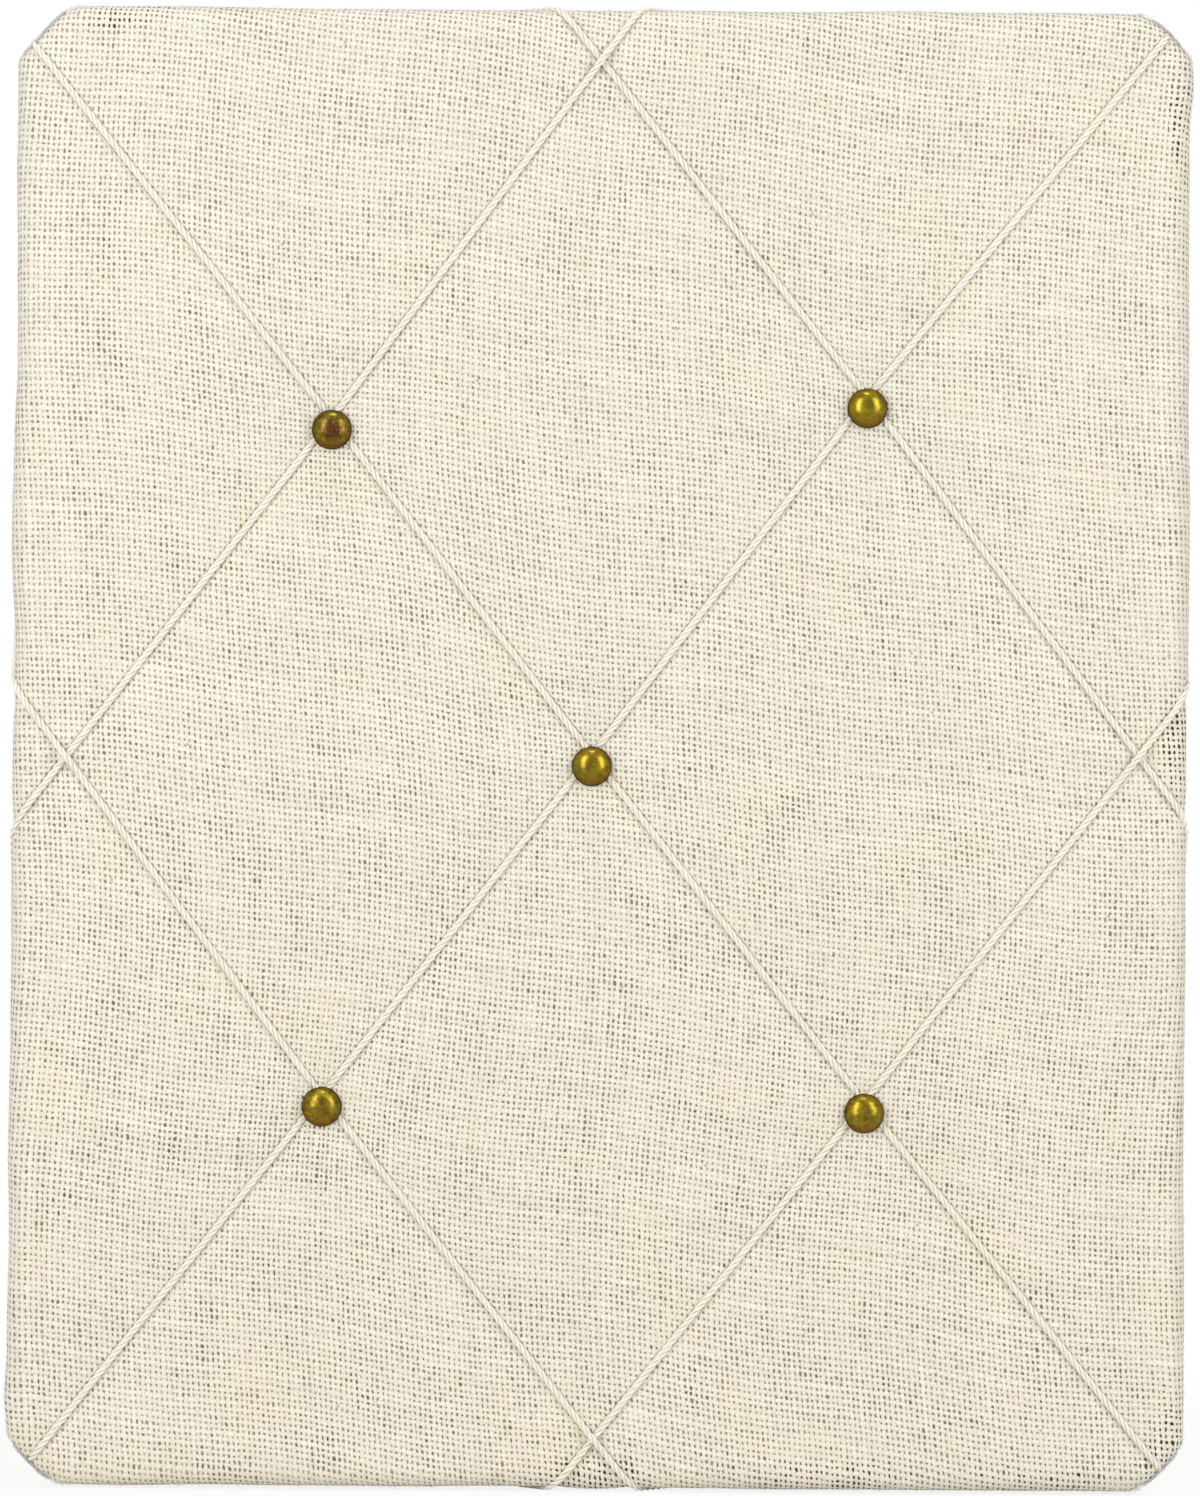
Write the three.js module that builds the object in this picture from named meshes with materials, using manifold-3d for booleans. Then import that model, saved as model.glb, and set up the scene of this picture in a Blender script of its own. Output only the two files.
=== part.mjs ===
// French memo board: a padded board in loose cotton cloth, with a diamond lattice of cords under dome nails.
// Millimetres. The pieces are laid out facing the viewer, with x to the right, y up and z towards the viewer.
// z = 0 is the back of the backing card. The finished group is turned: +Z is up and the front faces -Y.

import * as THREE from 'three';
import { mergeVertices } from 'three/addons/utils/BufferGeometryUtils.js';
import Module from 'manifold-3d';

const wasm = await Module();
wasm.setup();

// Board
const BOARD_WIDTH = 340;
const BOARD_HEIGHT = 428;
const CORNER_CHOP = 15;
const CORNER_ROUND = 5;
const CORE_THICKNESS = 9;
const SEAT_GAP = 0.3;
const CORNER_STEPS = 2;

// Cutters reach this far past the face that they cut, and points closer than the weld are one point
const OVERCUT = 2;
const WELD = 1e-4;

// Cloth and padding
const CLOTH_THICKNESS = 0.8;
const CLOTH_RETURN = 24;
const PAD_LOFT = 6;
const EDGE_ROUND = 6;
const EDGE_STEPS = 3;
const VALLEY_DEPTH = 2.2;
const VALLEY_FLOOR = 3.6;
const VALLEY_SPREAD = 28;
const VALLEY_STEPS = 3;
const DIMPLE_DEPTH = 2.7;
const DIMPLE_RADIUS = 16;
const DIMPLE_RIM = 1;
const DIMPLE_SPREAD = 30;
const DIMPLE_SIDES = 12;

// Cords: each one meets an edge at a share of half that edge, counted from its middle
const CORD_DIAMETER = 1.6;
const CORD_SIDES = 8;
const CORD_TAIL = 19;
const CROSSING_FLAT = 1;
const CROSSING_RAMP = 6;
const TOP_EXIT_OF_RIGHT_CORD = -0.076;
const TOP_EXIT_OF_LEFT_CORD = 0.061;
const BOTTOM_EXIT_OF_RIGHT_CORD = -0.067;
const BOTTOM_EXIT_OF_LEFT_CORD = 0.062;
const LEFT_EXIT_OF_UPPER_CORD = -0.111;
const LEFT_EXIT_OF_LOWER_CORD = 0.077;
const RIGHT_EXIT_OF_UPPER_CORD = -0.092;
const RIGHT_EXIT_OF_LOWER_CORD = 0.076;

// The top left cord leaves its chopped corner this share of half the chop down from the middle
const TOP_LEFT_CORNER_SLIDE = 0.44;

// Dome nails, set by hand a little off a true grid, at shares of the board's half width and half height
const NAIL_SHARES = {
  top_left: [-0.46, 0.427],
  top_right: [0.452, 0.461],
  centre: [-0.013, -0.026],
  bottom_left: [-0.469, -0.489],
  bottom_right: [0.455, -0.493],
};
const NAIL_HEAD_DIAMETER = 11.1;
const NAIL_DOME_HEIGHT = 4.6;
const NAIL_DOME_WALL = 0.8;
const NAIL_SHANK_DIAMETER = 1.8;
const NAIL_SHANK_LENGTH = 13;
const NAIL_POINT_LENGTH = 2.5;
const NAIL_RIM_LIFT = 1;
const NAIL_SIDES = 16;
const NAIL_DOME_STEPS = 4;

// Staples: those of the cloth and the card stand at shares of half a side, counted from its middle
const STAPLE_CROWN = 8;
const STAPLE_GAUGE = 0.5;
const STAPLE_WIDTH = 1;
const STAPLE_BITE = 5;
const STAPLE_CLEARANCE = 0.2;
const CORD_STAPLE_INSET = 11;
const CLOTH_STAPLE_INSET = 17;
const CLOTH_STAPLES_ACROSS = [0.34, 0.735];
const CLOTH_STAPLES_DOWN = [0.477, 0.79];
const CARD_STAPLE_INSET = 33;
const CARD_STAPLES_ACROSS = [0.265];
const CARD_STAPLES_DOWN = [0.416];

// Backing card
const CARD_THICKNESS = 1.5;
const CARD_INSET = 6;
const CARD_STAPLE_SINK = 0.1;

// Hangers
const HANGER_SPACING = 190;
const HANGER_DROP = 5;
const RING_WIRE = 2.2;
const RING_INNER_WIDTH = 16;
const RING_REACH = 24;
const RING_CORNER = 3;
const RING_BUTT_GAP = 0.4;
const RING_SIDES = 8;
const RING_CORNER_STEPS = 3;
const RING_BOW_STEPS = 10;
const STRAP_LEAF = 0.8;
const STRAP_WIDTH = 10;
const STRAP_LENGTH = 14;
const STRAP_CLEARANCE = 0.15;
const STRAP_SCREW_DROP = 8.5;
const BARREL_STEPS = 8;
const NOTCH_CLEARANCE = 3;
const SCREW_HEAD_DIAMETER = 6.4;
const SCREW_HEAD_HEIGHT = 1.7;
const SCREW_HEAD_FLAT = 4.5;
const SCREW_SHANK_DIAMETER = 2.8;
const SCREW_LENGTH = 8;
const SCREW_POINT = 3;
const SCREW_SIDES = 12;

const halfWidth = BOARD_WIDTH / 2;
const halfHeight = BOARD_HEIGHT / 2;
const nailPlaces = {};
for (const [name, [across, up]] of Object.entries(NAIL_SHARES)) {
  nailPlaces[name] = new THREE.Vector2(across * halfWidth, up * halfHeight);
}

// Depths of the layers, from the back of the card to the front of the cloth
const cordLift = CORD_DIAMETER / 2 + SEAT_GAP;
const cordStapleBack = CARD_THICKNESS + SEAT_GAP;
const clothBack = cordStapleBack + STAPLE_GAUGE + CORD_DIAMETER + 2 * SEAT_GAP;
const clothStapleBack = clothBack - SEAT_GAP - STAPLE_GAUGE;
const coreBack = clothBack + CLOTH_THICKNESS + SEAT_GAP;
const coreFront = coreBack + CORE_THICKNESS;
const clothFront = coreFront + SEAT_GAP + PAD_LOFT + SEAT_GAP + CLOTH_THICKNESS;
const valleyFront = clothFront - VALLEY_DEPTH;
const dimpleFront = valleyFront - DIMPLE_DEPTH;
const nailRim = dimpleFront + CORD_DIAMETER + SEAT_GAP + NAIL_RIM_LIFT;
const nailRadius = NAIL_HEAD_DIAMETER / 2;
const nailShank = NAIL_SHANK_DIAMETER / 2;
const nailTip = nailRim - NAIL_SHANK_LENGTH;
const cordPass = nailShank + SEAT_GAP + CORD_DIAMETER / 2;

const finishes = {
  cloth: { color: 0xe8e1d0, roughness: 0.95, metalness: 0 },
  batting: { color: 0xf4f3ee, roughness: 1, metalness: 0 },
  board: { color: 0xa58560, roughness: 0.85, metalness: 0 },
  card: { color: 0xb0916a, roughness: 0.9, metalness: 0 },
  cord: { color: 0xf1ecde, roughness: 0.9, metalness: 0 },
  brass: { color: 0x957e22, roughness: 0.3, metalness: 1 },
  steel: { color: 0xb9bcc0, roughness: 0.35, metalness: 1 },
};

const board = new THREE.Group();
const stapleLegs = [];
const cardPockets = [];

function addPiece(name, geometry, finish) {
  const mesh = new THREE.Mesh(geometry, new THREE.MeshStandardMaterial(finishes[finish]));
  mesh.name = name;
  board.add(mesh);
  return mesh;
}

// Solids that are joined and cut

function toSolid(geometry) {
  const bare = geometry.clone();
  bare.deleteAttribute('normal');
  bare.deleteAttribute('uv');
  const merged = mergeVertices(bare, WELD);
  const corners = merged.index.array;
  const kept = [];
  for (let i = 0; i < corners.length; i += 3) {
    const [a, b, c] = corners.slice(i, i + 3);
    if (a !== b && b !== c && c !== a) kept.push(a, b, c);
  }
  return new wasm.Manifold(new wasm.Mesh({
    numProp: 3,
    vertProperties: new Float32Array(merged.attributes.position.array),
    triVerts: new Uint32Array(kept),
  }));
}

function toGeometry(solid) {
  const mesh = solid.getMesh();
  const geometry = new THREE.BufferGeometry();
  geometry.setAttribute('position', new THREE.BufferAttribute(mesh.vertProperties, 3));
  geometry.setIndex(new THREE.BufferAttribute(mesh.triVerts, 1));
  return geometry;
}

function cut(solid, cutters) {
  return cutters.reduce((left, cutter) => left.subtract(cutter), solid);
}

// A slab between two depths; a bevel rounds its edges inside the outline
function slab(shape, from, to, bevel = 0) {
  const geometry = new THREE.ExtrudeGeometry(shape, {
    depth: to - from - 2 * bevel,
    bevelEnabled: bevel > 0,
    bevelThickness: bevel,
    bevelSize: bevel,
    bevelOffset: -bevel,
    bevelSegments: EDGE_STEPS,
    curveSegments: CORNER_STEPS,
  });
  return geometry.translate(0, 0, from + bevel);
}

// A turned piece whose profile holds [radius, depth] pairs
function turned(profile, sides) {
  const points = profile.map(([radius, depth]) => new THREE.Vector2(radius, depth));
  return new THREE.LatheGeometry(points, sides).rotateX(Math.PI / 2);
}

// A path that stops at chosen stations, so that straight stretches need no steps in between
class StationPath extends THREE.Curve {
  constructor(stations) {
    super();
    this.stations = stations;
  }

  getPoint(t, target = new THREE.Vector3()) {
    const last = this.stations.length - 1;
    const index = Math.min(Math.floor(t * last + WELD), last - 1);
    return target.lerpVectors(this.stations[index], this.stations[index + 1], t * last - index);
  }

  getTangent(t, target = new THREE.Vector3()) {
    const last = this.stations.length - 1;
    const index = Math.round(t * last);
    const here = this.stations[index];
    const before = this.stations[Math.max(index - 1, 0)];
    const after = this.stations[Math.min(index + 1, last)];
    target.copy(here).sub(before).normalize();
    return target.add(after.clone().sub(here).normalize()).normalize();
  }

  getUtoTmapping(u) {
    return u;
  }
}

function sweep(section, stations) {
  return new THREE.ExtrudeGeometry(section, {
    extrudePath: new StationPath(stations),
    steps: stations.length - 1,
    curveSegments: 1,
  });
}

function roundSection(diameter, sides) {
  const corners = [];
  for (let i = 0; i < sides; i += 1) {
    const angle = (2 * Math.PI * i) / sides;
    corners.push(new THREE.Vector2(Math.cos(angle), Math.sin(angle)).multiplyScalar(diameter / 2));
  }
  return new THREE.Shape(corners);
}

// The board's outline, a rectangle with chopped corners, moved in from the edge

function outlineCorners(inset) {
  const x = BOARD_WIDTH / 2 - inset;
  const y = BOARD_HEIGHT / 2 - inset;
  const chop = CORNER_CHOP - inset * (2 - Math.SQRT2);
  return [
    [x, y - chop], [x - chop, y], [chop - x, y], [-x, y - chop],
    [-x, chop - y], [chop - x, -y], [x - chop, -y], [x, chop - y],
  ].map(([a, b]) => new THREE.Vector2(a, b));
}

function boardOutline(inset) {
  const corners = outlineCorners(inset);
  const shape = new THREE.Shape();
  corners.forEach((corner, i) => {
    const before = corners[(i + corners.length - 1) % corners.length];
    const after = corners[(i + 1) % corners.length];
    const round = Math.min(CORNER_ROUND, before.distanceTo(corner) / 3, after.distanceTo(corner) / 3);
    const start = before.clone().sub(corner).setLength(round).add(corner);
    const end = after.clone().sub(corner).setLength(round).add(corner);
    if (i === 0) shape.moveTo(start.x, start.y);
    else shape.lineTo(start.x, start.y);
    shape.quadraticCurveTo(corner.x, corner.y, end.x, end.y);
  });
  shape.closePath();
  return shape;
}

// Cords

function passOver(name, direction) {
  const upper = new THREE.Vector2(-direction.y, direction.x);
  if (upper.y < 0) upper.negate();
  return upper.setLength(cordPass).add(nailPlaces[name]);
}

function makeCord(name, start, nails, end) {
  const rough = [start.place, ...nails.map((nail) => nailPlaces[nail]), end.place];
  const knots = rough.map((place, i) => {
    if (i === 0 || i === rough.length - 1) return place;
    return passOver(nails[i - 1], rough[i + 1].clone().sub(rough[i - 1]));
  });
  return { name, start, end, knots };
}

function edgeExit(right, up) {
  const outward = Math.abs(up) === 1 ? new THREE.Vector2(0, up) : new THREE.Vector2(right, 0);
  return { place: new THREE.Vector2(right * halfWidth, up * halfHeight), outward };
}

const topExit = (share) => edgeExit(share, 1);
const bottomExit = (share) => edgeExit(share, -1);
const leftExit = (share) => edgeExit(-1, share);
const rightExit = (share) => edgeExit(1, share);

function cornerExit(right, up, slide = 0) {
  const half = CORNER_CHOP / 2;
  const across = halfWidth - half * (1 - slide);
  const rise = halfHeight - half * (1 + slide);
  return {
    place: new THREE.Vector2(right * across, up * rise),
    outward: new THREE.Vector2(right, up).normalize(),
  };
}

// In the order that they are laid: each cord lies over the earlier ones that it crosses
const cords = [
  makeCord('cord_top_right_to_bottom_left', cornerExit(1, 1),
    ['top_right', 'centre', 'bottom_left'], cornerExit(-1, -1)),
  makeCord('cord_top_left_to_bottom_right', cornerExit(-1, 1, TOP_LEFT_CORNER_SLIDE),
    ['top_left', 'centre', 'bottom_right'], cornerExit(1, -1)),
  makeCord('cord_top_to_right', topExit(TOP_EXIT_OF_RIGHT_CORD),
    ['top_right'], rightExit(RIGHT_EXIT_OF_UPPER_CORD)),
  makeCord('cord_top_to_left', topExit(TOP_EXIT_OF_LEFT_CORD),
    ['top_left'], leftExit(LEFT_EXIT_OF_UPPER_CORD)),
  makeCord('cord_right_to_bottom', rightExit(RIGHT_EXIT_OF_LOWER_CORD),
    ['bottom_right'], bottomExit(BOTTOM_EXIT_OF_RIGHT_CORD)),
  makeCord('cord_left_to_bottom', leftExit(LEFT_EXIT_OF_LOWER_CORD),
    ['bottom_left'], bottomExit(BOTTOM_EXIT_OF_LEFT_CORD)),
];

function knotDistances(knots) {
  const distances = [0];
  for (let i = 1; i < knots.length; i += 1) {
    distances.push(distances[i - 1] + knots[i].distanceTo(knots[i - 1]));
  }
  return distances;
}

function placeAlong(knots, distance) {
  const distances = knotDistances(knots);
  let i = 1;
  while (i < knots.length - 1 && distance > distances[i]) i += 1;
  const share = (distance - distances[i - 1]) / (distances[i] - distances[i - 1]);
  return knots[i - 1].clone().lerp(knots[i], share);
}

// How far along the first cord the second one crosses it
function crossings(knots, others) {
  const distances = knotDistances(knots);
  const found = [];
  for (let i = 1; i < knots.length; i += 1) {
    const run = knots[i].clone().sub(knots[i - 1]);
    for (let j = 1; j < others.length; j += 1) {
      const other = others[j].clone().sub(others[j - 1]);
      const apart = others[j - 1].clone().sub(knots[i - 1]);
      const turn = run.cross(other);
      const here = apart.cross(other) / turn;
      const there = apart.cross(run) / turn;
      if (here > 0 && here < 1 && there > 0 && there < 1) found.push(distances[i - 1] + here * run.length());
    }
  }
  return found;
}

// Stations on the board's front: down into each nail's dimple, and over each earlier cord
function frontStations(cord, earlier) {
  const distances = knotDistances(cord.knots);
  const nailStops = distances.slice(1, -1);
  const underRim = Math.sqrt(nailRadius ** 2 - cordPass ** 2);
  const onValley = valleyFront + cordLift;
  const onFloor = dimpleFront + cordLift;
  const stops = [];
  for (const stop of nailStops) {
    stops.push([stop - DIMPLE_RADIUS, onValley], [stop - underRim, onFloor], [stop, onFloor]);
    stops.push([stop + underRim, onFloor], [stop + DIMPLE_RADIUS, onValley]);
  }
  for (const other of earlier) {
    for (const crossing of crossings(cord.knots, other.knots)) {
      const underNail = nailStops.some((stop) => Math.abs(stop - crossing) < nailRadius);
      const base = underNail ? onFloor : onValley;
      const lifted = base + CORD_DIAMETER + SEAT_GAP;
      stops.push([crossing - CROSSING_FLAT / 2, lifted], [crossing + CROSSING_FLAT / 2, lifted]);
      if (!underNail) stops.push([crossing - CROSSING_RAMP, base], [crossing + CROSSING_RAMP, base]);
    }
  }
  stops.sort((a, b) => a[0] - b[0]);
  return stops.map(([distance, depth]) => {
    const place = placeAlong(cord.knots, distance);
    return new THREE.Vector3(place.x, place.y, depth);
  });
}

// The cord's line over the rounded front edge, down the side and along the back: out from the edge, depth
function edgeProfile() {
  const meet = Math.acos(1 - VALLEY_DEPTH / EDGE_ROUND);
  const middle = (meet + Math.PI / 2) / 2;
  const round = (angle) => [
    EDGE_ROUND * (Math.sin(angle) - 1),
    clothFront - EDGE_ROUND * (1 - Math.cos(angle)),
  ];
  const lip = round(meet);
  const heel = [0, clothBack];
  const stops = [
    [lip, 0], [lip, meet / 2], [lip, meet], [round(middle), middle], [round(Math.PI / 2), Math.PI / 2],
    [heel, Math.PI / 2], [heel, (3 * Math.PI) / 4], [heel, Math.PI],
    [[-CORD_STAPLE_INSET, clothBack], Math.PI], [[-CORD_TAIL, clothBack], Math.PI],
  ];
  return stops.map(([[out, depth], tilt]) => new THREE.Vector2(
    out + cordLift * Math.sin(tilt),
    depth + cordLift * Math.cos(tilt),
  ));
}

function edgeStations(exit, inside) {
  const direction = exit.place.clone().sub(inside).normalize();
  const along = new THREE.Vector2(-exit.outward.y, exit.outward.x);
  const slope = direction.dot(along) / direction.dot(exit.outward);
  const profile = edgeProfile();
  let travel = profile[0].x;
  return profile.map((stop, i) => {
    if (i > 0) travel += stop.distanceTo(profile[i - 1]);
    const place = exit.place.clone().addScaledVector(exit.outward, stop.x);
    place.addScaledVector(along, slope * travel);
    return new THREE.Vector3(place.x, place.y, stop.y);
  });
}

// Staples

function addStaple(name, x, y, angle, back) {
  const half = STAPLE_CROWN / 2;
  const length = coreBack + STAPLE_BITE - back;
  const wire = new THREE.Shape([
    [-half, 0], [half, 0], [half, length], [half - STAPLE_GAUGE, length],
    [half - STAPLE_GAUGE, STAPLE_GAUGE], [STAPLE_GAUGE - half, STAPLE_GAUGE],
    [STAPLE_GAUGE - half, length], [-half, length],
  ].map(([a, b]) => new THREE.Vector2(a, b)));
  const geometry = new THREE.ExtrudeGeometry(wire, { depth: STAPLE_WIDTH, bevelEnabled: false });
  geometry.translate(0, 0, -STAPLE_WIDTH / 2).rotateX(Math.PI / 2);
  const staple = addPiece(name, geometry, 'steel');
  staple.position.set(x, y, back);
  staple.rotation.z = angle;
  staple.updateMatrix();
  const holeWidth = STAPLE_WIDTH + 2 * STAPLE_CLEARANCE;
  for (const side of [-1, 1]) {
    const hole = new THREE.BoxGeometry(STAPLE_GAUGE + 2 * STAPLE_CLEARANCE, holeWidth, length + SEAT_GAP);
    hole.translate(side * (half - STAPLE_GAUGE / 2), 0, (length + SEAT_GAP) / 2);
    stapleLegs.push(toSolid(hole.applyMatrix4(staple.matrix)));
  }
  return staple;
}

function addCordStaples() {
  let count = 0;
  for (const cord of cords) {
    const { knots } = cord;
    for (const [exit, inside] of [[cord.start, knots[1]], [cord.end, knots[knots.length - 2]]]) {
      const stations = edgeStations(exit, inside);
      const [seat, tail] = stations.slice(-2);
      count += 1;
      const angle = Math.atan2(tail.y - seat.y, tail.x - seat.x) + Math.PI / 2;
      addStaple(`cord_staple_${String(count).padStart(2, '0')}`, seat.x, seat.y, angle, cordStapleBack);
    }
  }
}

// Staples along all four sides, the same number on each half of a side
function addSideStaples(name, inset, across, down, back, onStaple = () => {}) {
  const sides = [
    { reach: halfHeight, span: halfWidth, shares: across, angle: 0 },
    { reach: halfWidth, span: halfHeight, shares: down, angle: Math.PI / 2 },
    { reach: halfHeight, span: halfWidth, shares: across, angle: Math.PI },
    { reach: halfWidth, span: halfHeight, shares: down, angle: -Math.PI / 2 },
  ];
  let count = 0;
  for (const { reach, span, shares, angle } of sides) {
    for (const share of shares) {
      for (const way of [-1, 1]) {
        const place = new THREE.Vector2(way * share * span, reach - inset);
        place.rotateAround(new THREE.Vector2(), angle);
        count += 1;
        onStaple(addStaple(`${name}_${String(count).padStart(2, '0')}`, place.x, place.y, angle, back));
      }
    }
  }
}

function sinkIntoCard(staple) {
  const pocket = new THREE.BoxGeometry(
    STAPLE_CROWN + 2 * STAPLE_CLEARANCE,
    STAPLE_WIDTH + 2 * STAPLE_CLEARANCE,
    OVERCUT + STAPLE_GAUGE + STAPLE_CLEARANCE,
  );
  pocket.translate(0, 0, (STAPLE_GAUGE + STAPLE_CLEARANCE - OVERCUT) / 2);
  cardPockets.push(toSolid(pocket.applyMatrix4(staple.matrix)));
}

// Nails

function nailProfile() {
  const innerTop = nailRim + NAIL_DOME_HEIGHT - NAIL_DOME_WALL;
  const dome = (radius, height, share) => {
    const angle = (share * Math.PI) / 2;
    return [radius * Math.cos(angle), nailRim + height * Math.sin(angle)];
  };
  const profile = [[0, nailTip], [nailShank, nailTip + NAIL_POINT_LENGTH]];
  const innerRadius = nailRadius - NAIL_DOME_WALL;
  const shankAngle = Math.acos(nailShank / innerRadius);
  profile.push([nailShank, nailRim + (innerTop - nailRim) * Math.sin(shankAngle)]);
  for (let i = NAIL_DOME_STEPS - 1; i >= 0; i -= 1) {
    const share = (shankAngle / (Math.PI / 2)) * (i / NAIL_DOME_STEPS);
    profile.push(dome(innerRadius, innerTop - nailRim, share));
  }
  for (let i = 0; i < NAIL_DOME_STEPS; i += 1) {
    profile.push(dome(nailRadius, NAIL_DOME_HEIGHT, i / NAIL_DOME_STEPS));
  }
  profile.push([0, nailRim + NAIL_DOME_HEIGHT]);
  return profile;
}

function nailHoles() {
  return Object.values(nailPlaces).map(({ x, y }) => {
    const depth = clothFront - nailTip + SEAT_GAP;
    const hole = new THREE.CylinderGeometry(nailShank + SEAT_GAP, nailShank + SEAT_GAP, depth, CORD_SIDES);
    hole.rotateX(Math.PI / 2).translate(x, y, clothFront - depth / 2);
    return toSolid(hole);
  });
}

// The padded body: a slab with a rounded front edge, valleys under the cords and a dimple under each nail

function valleySection() {
  const corners = [];
  for (let i = 0; i <= VALLEY_STEPS; i += 1) {
    const share = i / VALLEY_STEPS;
    const across = VALLEY_FLOOR / 2 + share * (VALLEY_SPREAD - VALLEY_FLOOR / 2);
    corners.push([across, VALLEY_DEPTH * Math.sin((share * Math.PI) / 2)]);
  }
  corners.push([VALLEY_SPREAD, VALLEY_DEPTH + OVERCUT]);
  const mirrored = corners.map(([across, height]) => [-across, height]).reverse();
  return new THREE.Shape([...corners, ...mirrored].map(([a, b]) => new THREE.Vector2(-b, a)));
}

function valley(cord, inset) {
  const { knots } = cord;
  const last = knots.length - 1;
  const stations = knots.map((knot) => new THREE.Vector3(knot.x, knot.y, valleyFront - inset));
  stations[0].add(stations[0].clone().sub(stations[1]).setLength(CORNER_CHOP));
  stations[last].add(stations[last].clone().sub(stations[last - 1]).setLength(CORNER_CHOP));
  return toSolid(sweep(valleySection(), stations));
}

function dimple({ x, y }, inset) {
  const floor = dimpleFront - inset;
  const top = clothFront + OVERCUT;
  const geometry = turned([
    [0, floor], [nailRadius + DIMPLE_RIM, floor], [DIMPLE_RADIUS, valleyFront - inset],
    [DIMPLE_SPREAD, clothFront - inset], [DIMPLE_SPREAD, top], [0, top],
  ], DIMPLE_SIDES);
  return toSolid(geometry.translate(x, y, 0));
}

function behind(depth) {
  const reach = 2 * (BOARD_WIDTH + BOARD_HEIGHT);
  return toSolid(new THREE.BoxGeometry(reach, reach, reach).translate(0, 0, depth - reach / 2));
}

function paddedBody(inset) {
  const back = clothBack + inset;
  const round = EDGE_ROUND - inset;
  const block = toSolid(slab(boardOutline(inset), back - round - OVERCUT, clothFront - inset, round));
  const valleys = cords.map((cord) => valley(cord, inset));
  const dimples = Object.values(nailPlaces).map((place) => dimple(place, inset));
  return cut(block, [behind(back), ...valleys, ...dimples]);
}

// Hangers

const hangerY = halfHeight - CLOTH_RETURN - HANGER_DROP;
const strapSeat = coreBack - SEAT_GAP;
const barrelInner = RING_WIRE / 2 + STRAP_CLEARANCE;
const barrelOuter = barrelInner + STRAP_LEAF;
const hangerZ = strapSeat - barrelOuter;
const strapTop = strapSeat - 2 * STRAP_LEAF;

function ringStations() {
  const half = (RING_INNER_WIDTH + RING_WIRE) / 2;
  const stations = [new THREE.Vector3(RING_BUTT_GAP / 2, 0, 0)];
  const addArc = (centreX, centreY, radius, from, to, steps) => {
    for (let i = 0; i <= steps; i += 1) {
      const angle = from + ((to - from) * i) / steps;
      const x = centreX + radius * Math.cos(angle);
      const y = centreY + radius * Math.sin(angle);
      stations.push(new THREE.Vector3(x, y, 0));
    }
  };
  addArc(half - RING_CORNER, -RING_CORNER, RING_CORNER, Math.PI / 2, 0, RING_CORNER_STEPS);
  addArc(0, half - RING_REACH, half, 0, -Math.PI, RING_BOW_STEPS);
  addArc(RING_CORNER - half, -RING_CORNER, RING_CORNER, Math.PI, Math.PI / 2, RING_CORNER_STEPS);
  stations.push(new THREE.Vector3(-RING_BUTT_GAP / 2, 0, 0));
  return stations;
}

// The strap's side view, drawn with the barrel at the origin: a loop with both leaves running down flat
function strapSolid() {
  const side = new THREE.Shape();
  const seat = -barrelOuter;
  const top = seat + 2 * STRAP_LEAF;
  side.moveTo(0, seat);
  side.lineTo(-STRAP_LENGTH, seat);
  side.lineTo(-STRAP_LENGTH, top);
  side.lineTo(-Math.sqrt(barrelOuter ** 2 - top ** 2), top);
  side.absarc(0, 0, barrelOuter, Math.PI + Math.asin(-top / barrelOuter), -Math.PI / 2, true);
  const bore = new THREE.Path();
  bore.absarc(0, 0, barrelInner, 0, 2 * Math.PI, false);
  side.holes.push(bore);
  const geometry = new THREE.ExtrudeGeometry(side, {
    depth: STRAP_WIDTH,
    bevelEnabled: false,
    curveSegments: BARREL_STEPS,
  });
  geometry.translate(0, 0, -STRAP_WIDTH / 2).rotateZ(Math.PI / 2).rotateY(-Math.PI / 2);
  return toSolid(geometry);
}

function screwProfile() {
  const shank = SCREW_SHANK_DIAMETER / 2;
  const head = SCREW_HEAD_DIAMETER / 2;
  const under = strapTop - STRAP_CLEARANCE;
  return [
    [0, under + SCREW_LENGTH], [shank, under + SCREW_LENGTH - SCREW_POINT], [shank, under], [head, under],
    [head, under - SCREW_HEAD_HEIGHT / 2], [SCREW_HEAD_FLAT / 2, under - SCREW_HEAD_HEIGHT],
    [0, under - SCREW_HEAD_HEIGHT],
  ].reverse();
}

function screwHole(x) {
  const radius = SCREW_SHANK_DIAMETER / 2 + SEAT_GAP;
  const length = SCREW_LENGTH + SEAT_GAP + OVERCUT;
  const hole = new THREE.CylinderGeometry(radius, radius, length, SCREW_SIDES);
  hole.rotateX(Math.PI / 2).translate(x, hangerY - STRAP_SCREW_DROP, strapTop - OVERCUT + length / 2);
  return toSolid(hole);
}

const hangers = { left: -HANGER_SPACING / 2, right: HANGER_SPACING / 2 };

function addHanger(side, x) {
  const strap = strapSolid().translate([x, hangerY, hangerZ]).subtract(screwHole(x));
  addPiece(`hanger_strap_${side}`, toGeometry(strap), 'steel');
  const wire = sweep(roundSection(RING_WIRE, RING_SIDES), ringStations());
  const ring = addPiece(`hanger_ring_${side}`, wire, 'steel');
  ring.position.set(x, hangerY, hangerZ);
  const screw = addPiece(`hanger_screw_${side}`, turned(screwProfile(), SCREW_SIDES), 'steel');
  screw.position.set(x, hangerY - STRAP_SCREW_DROP, 0);
}

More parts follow.
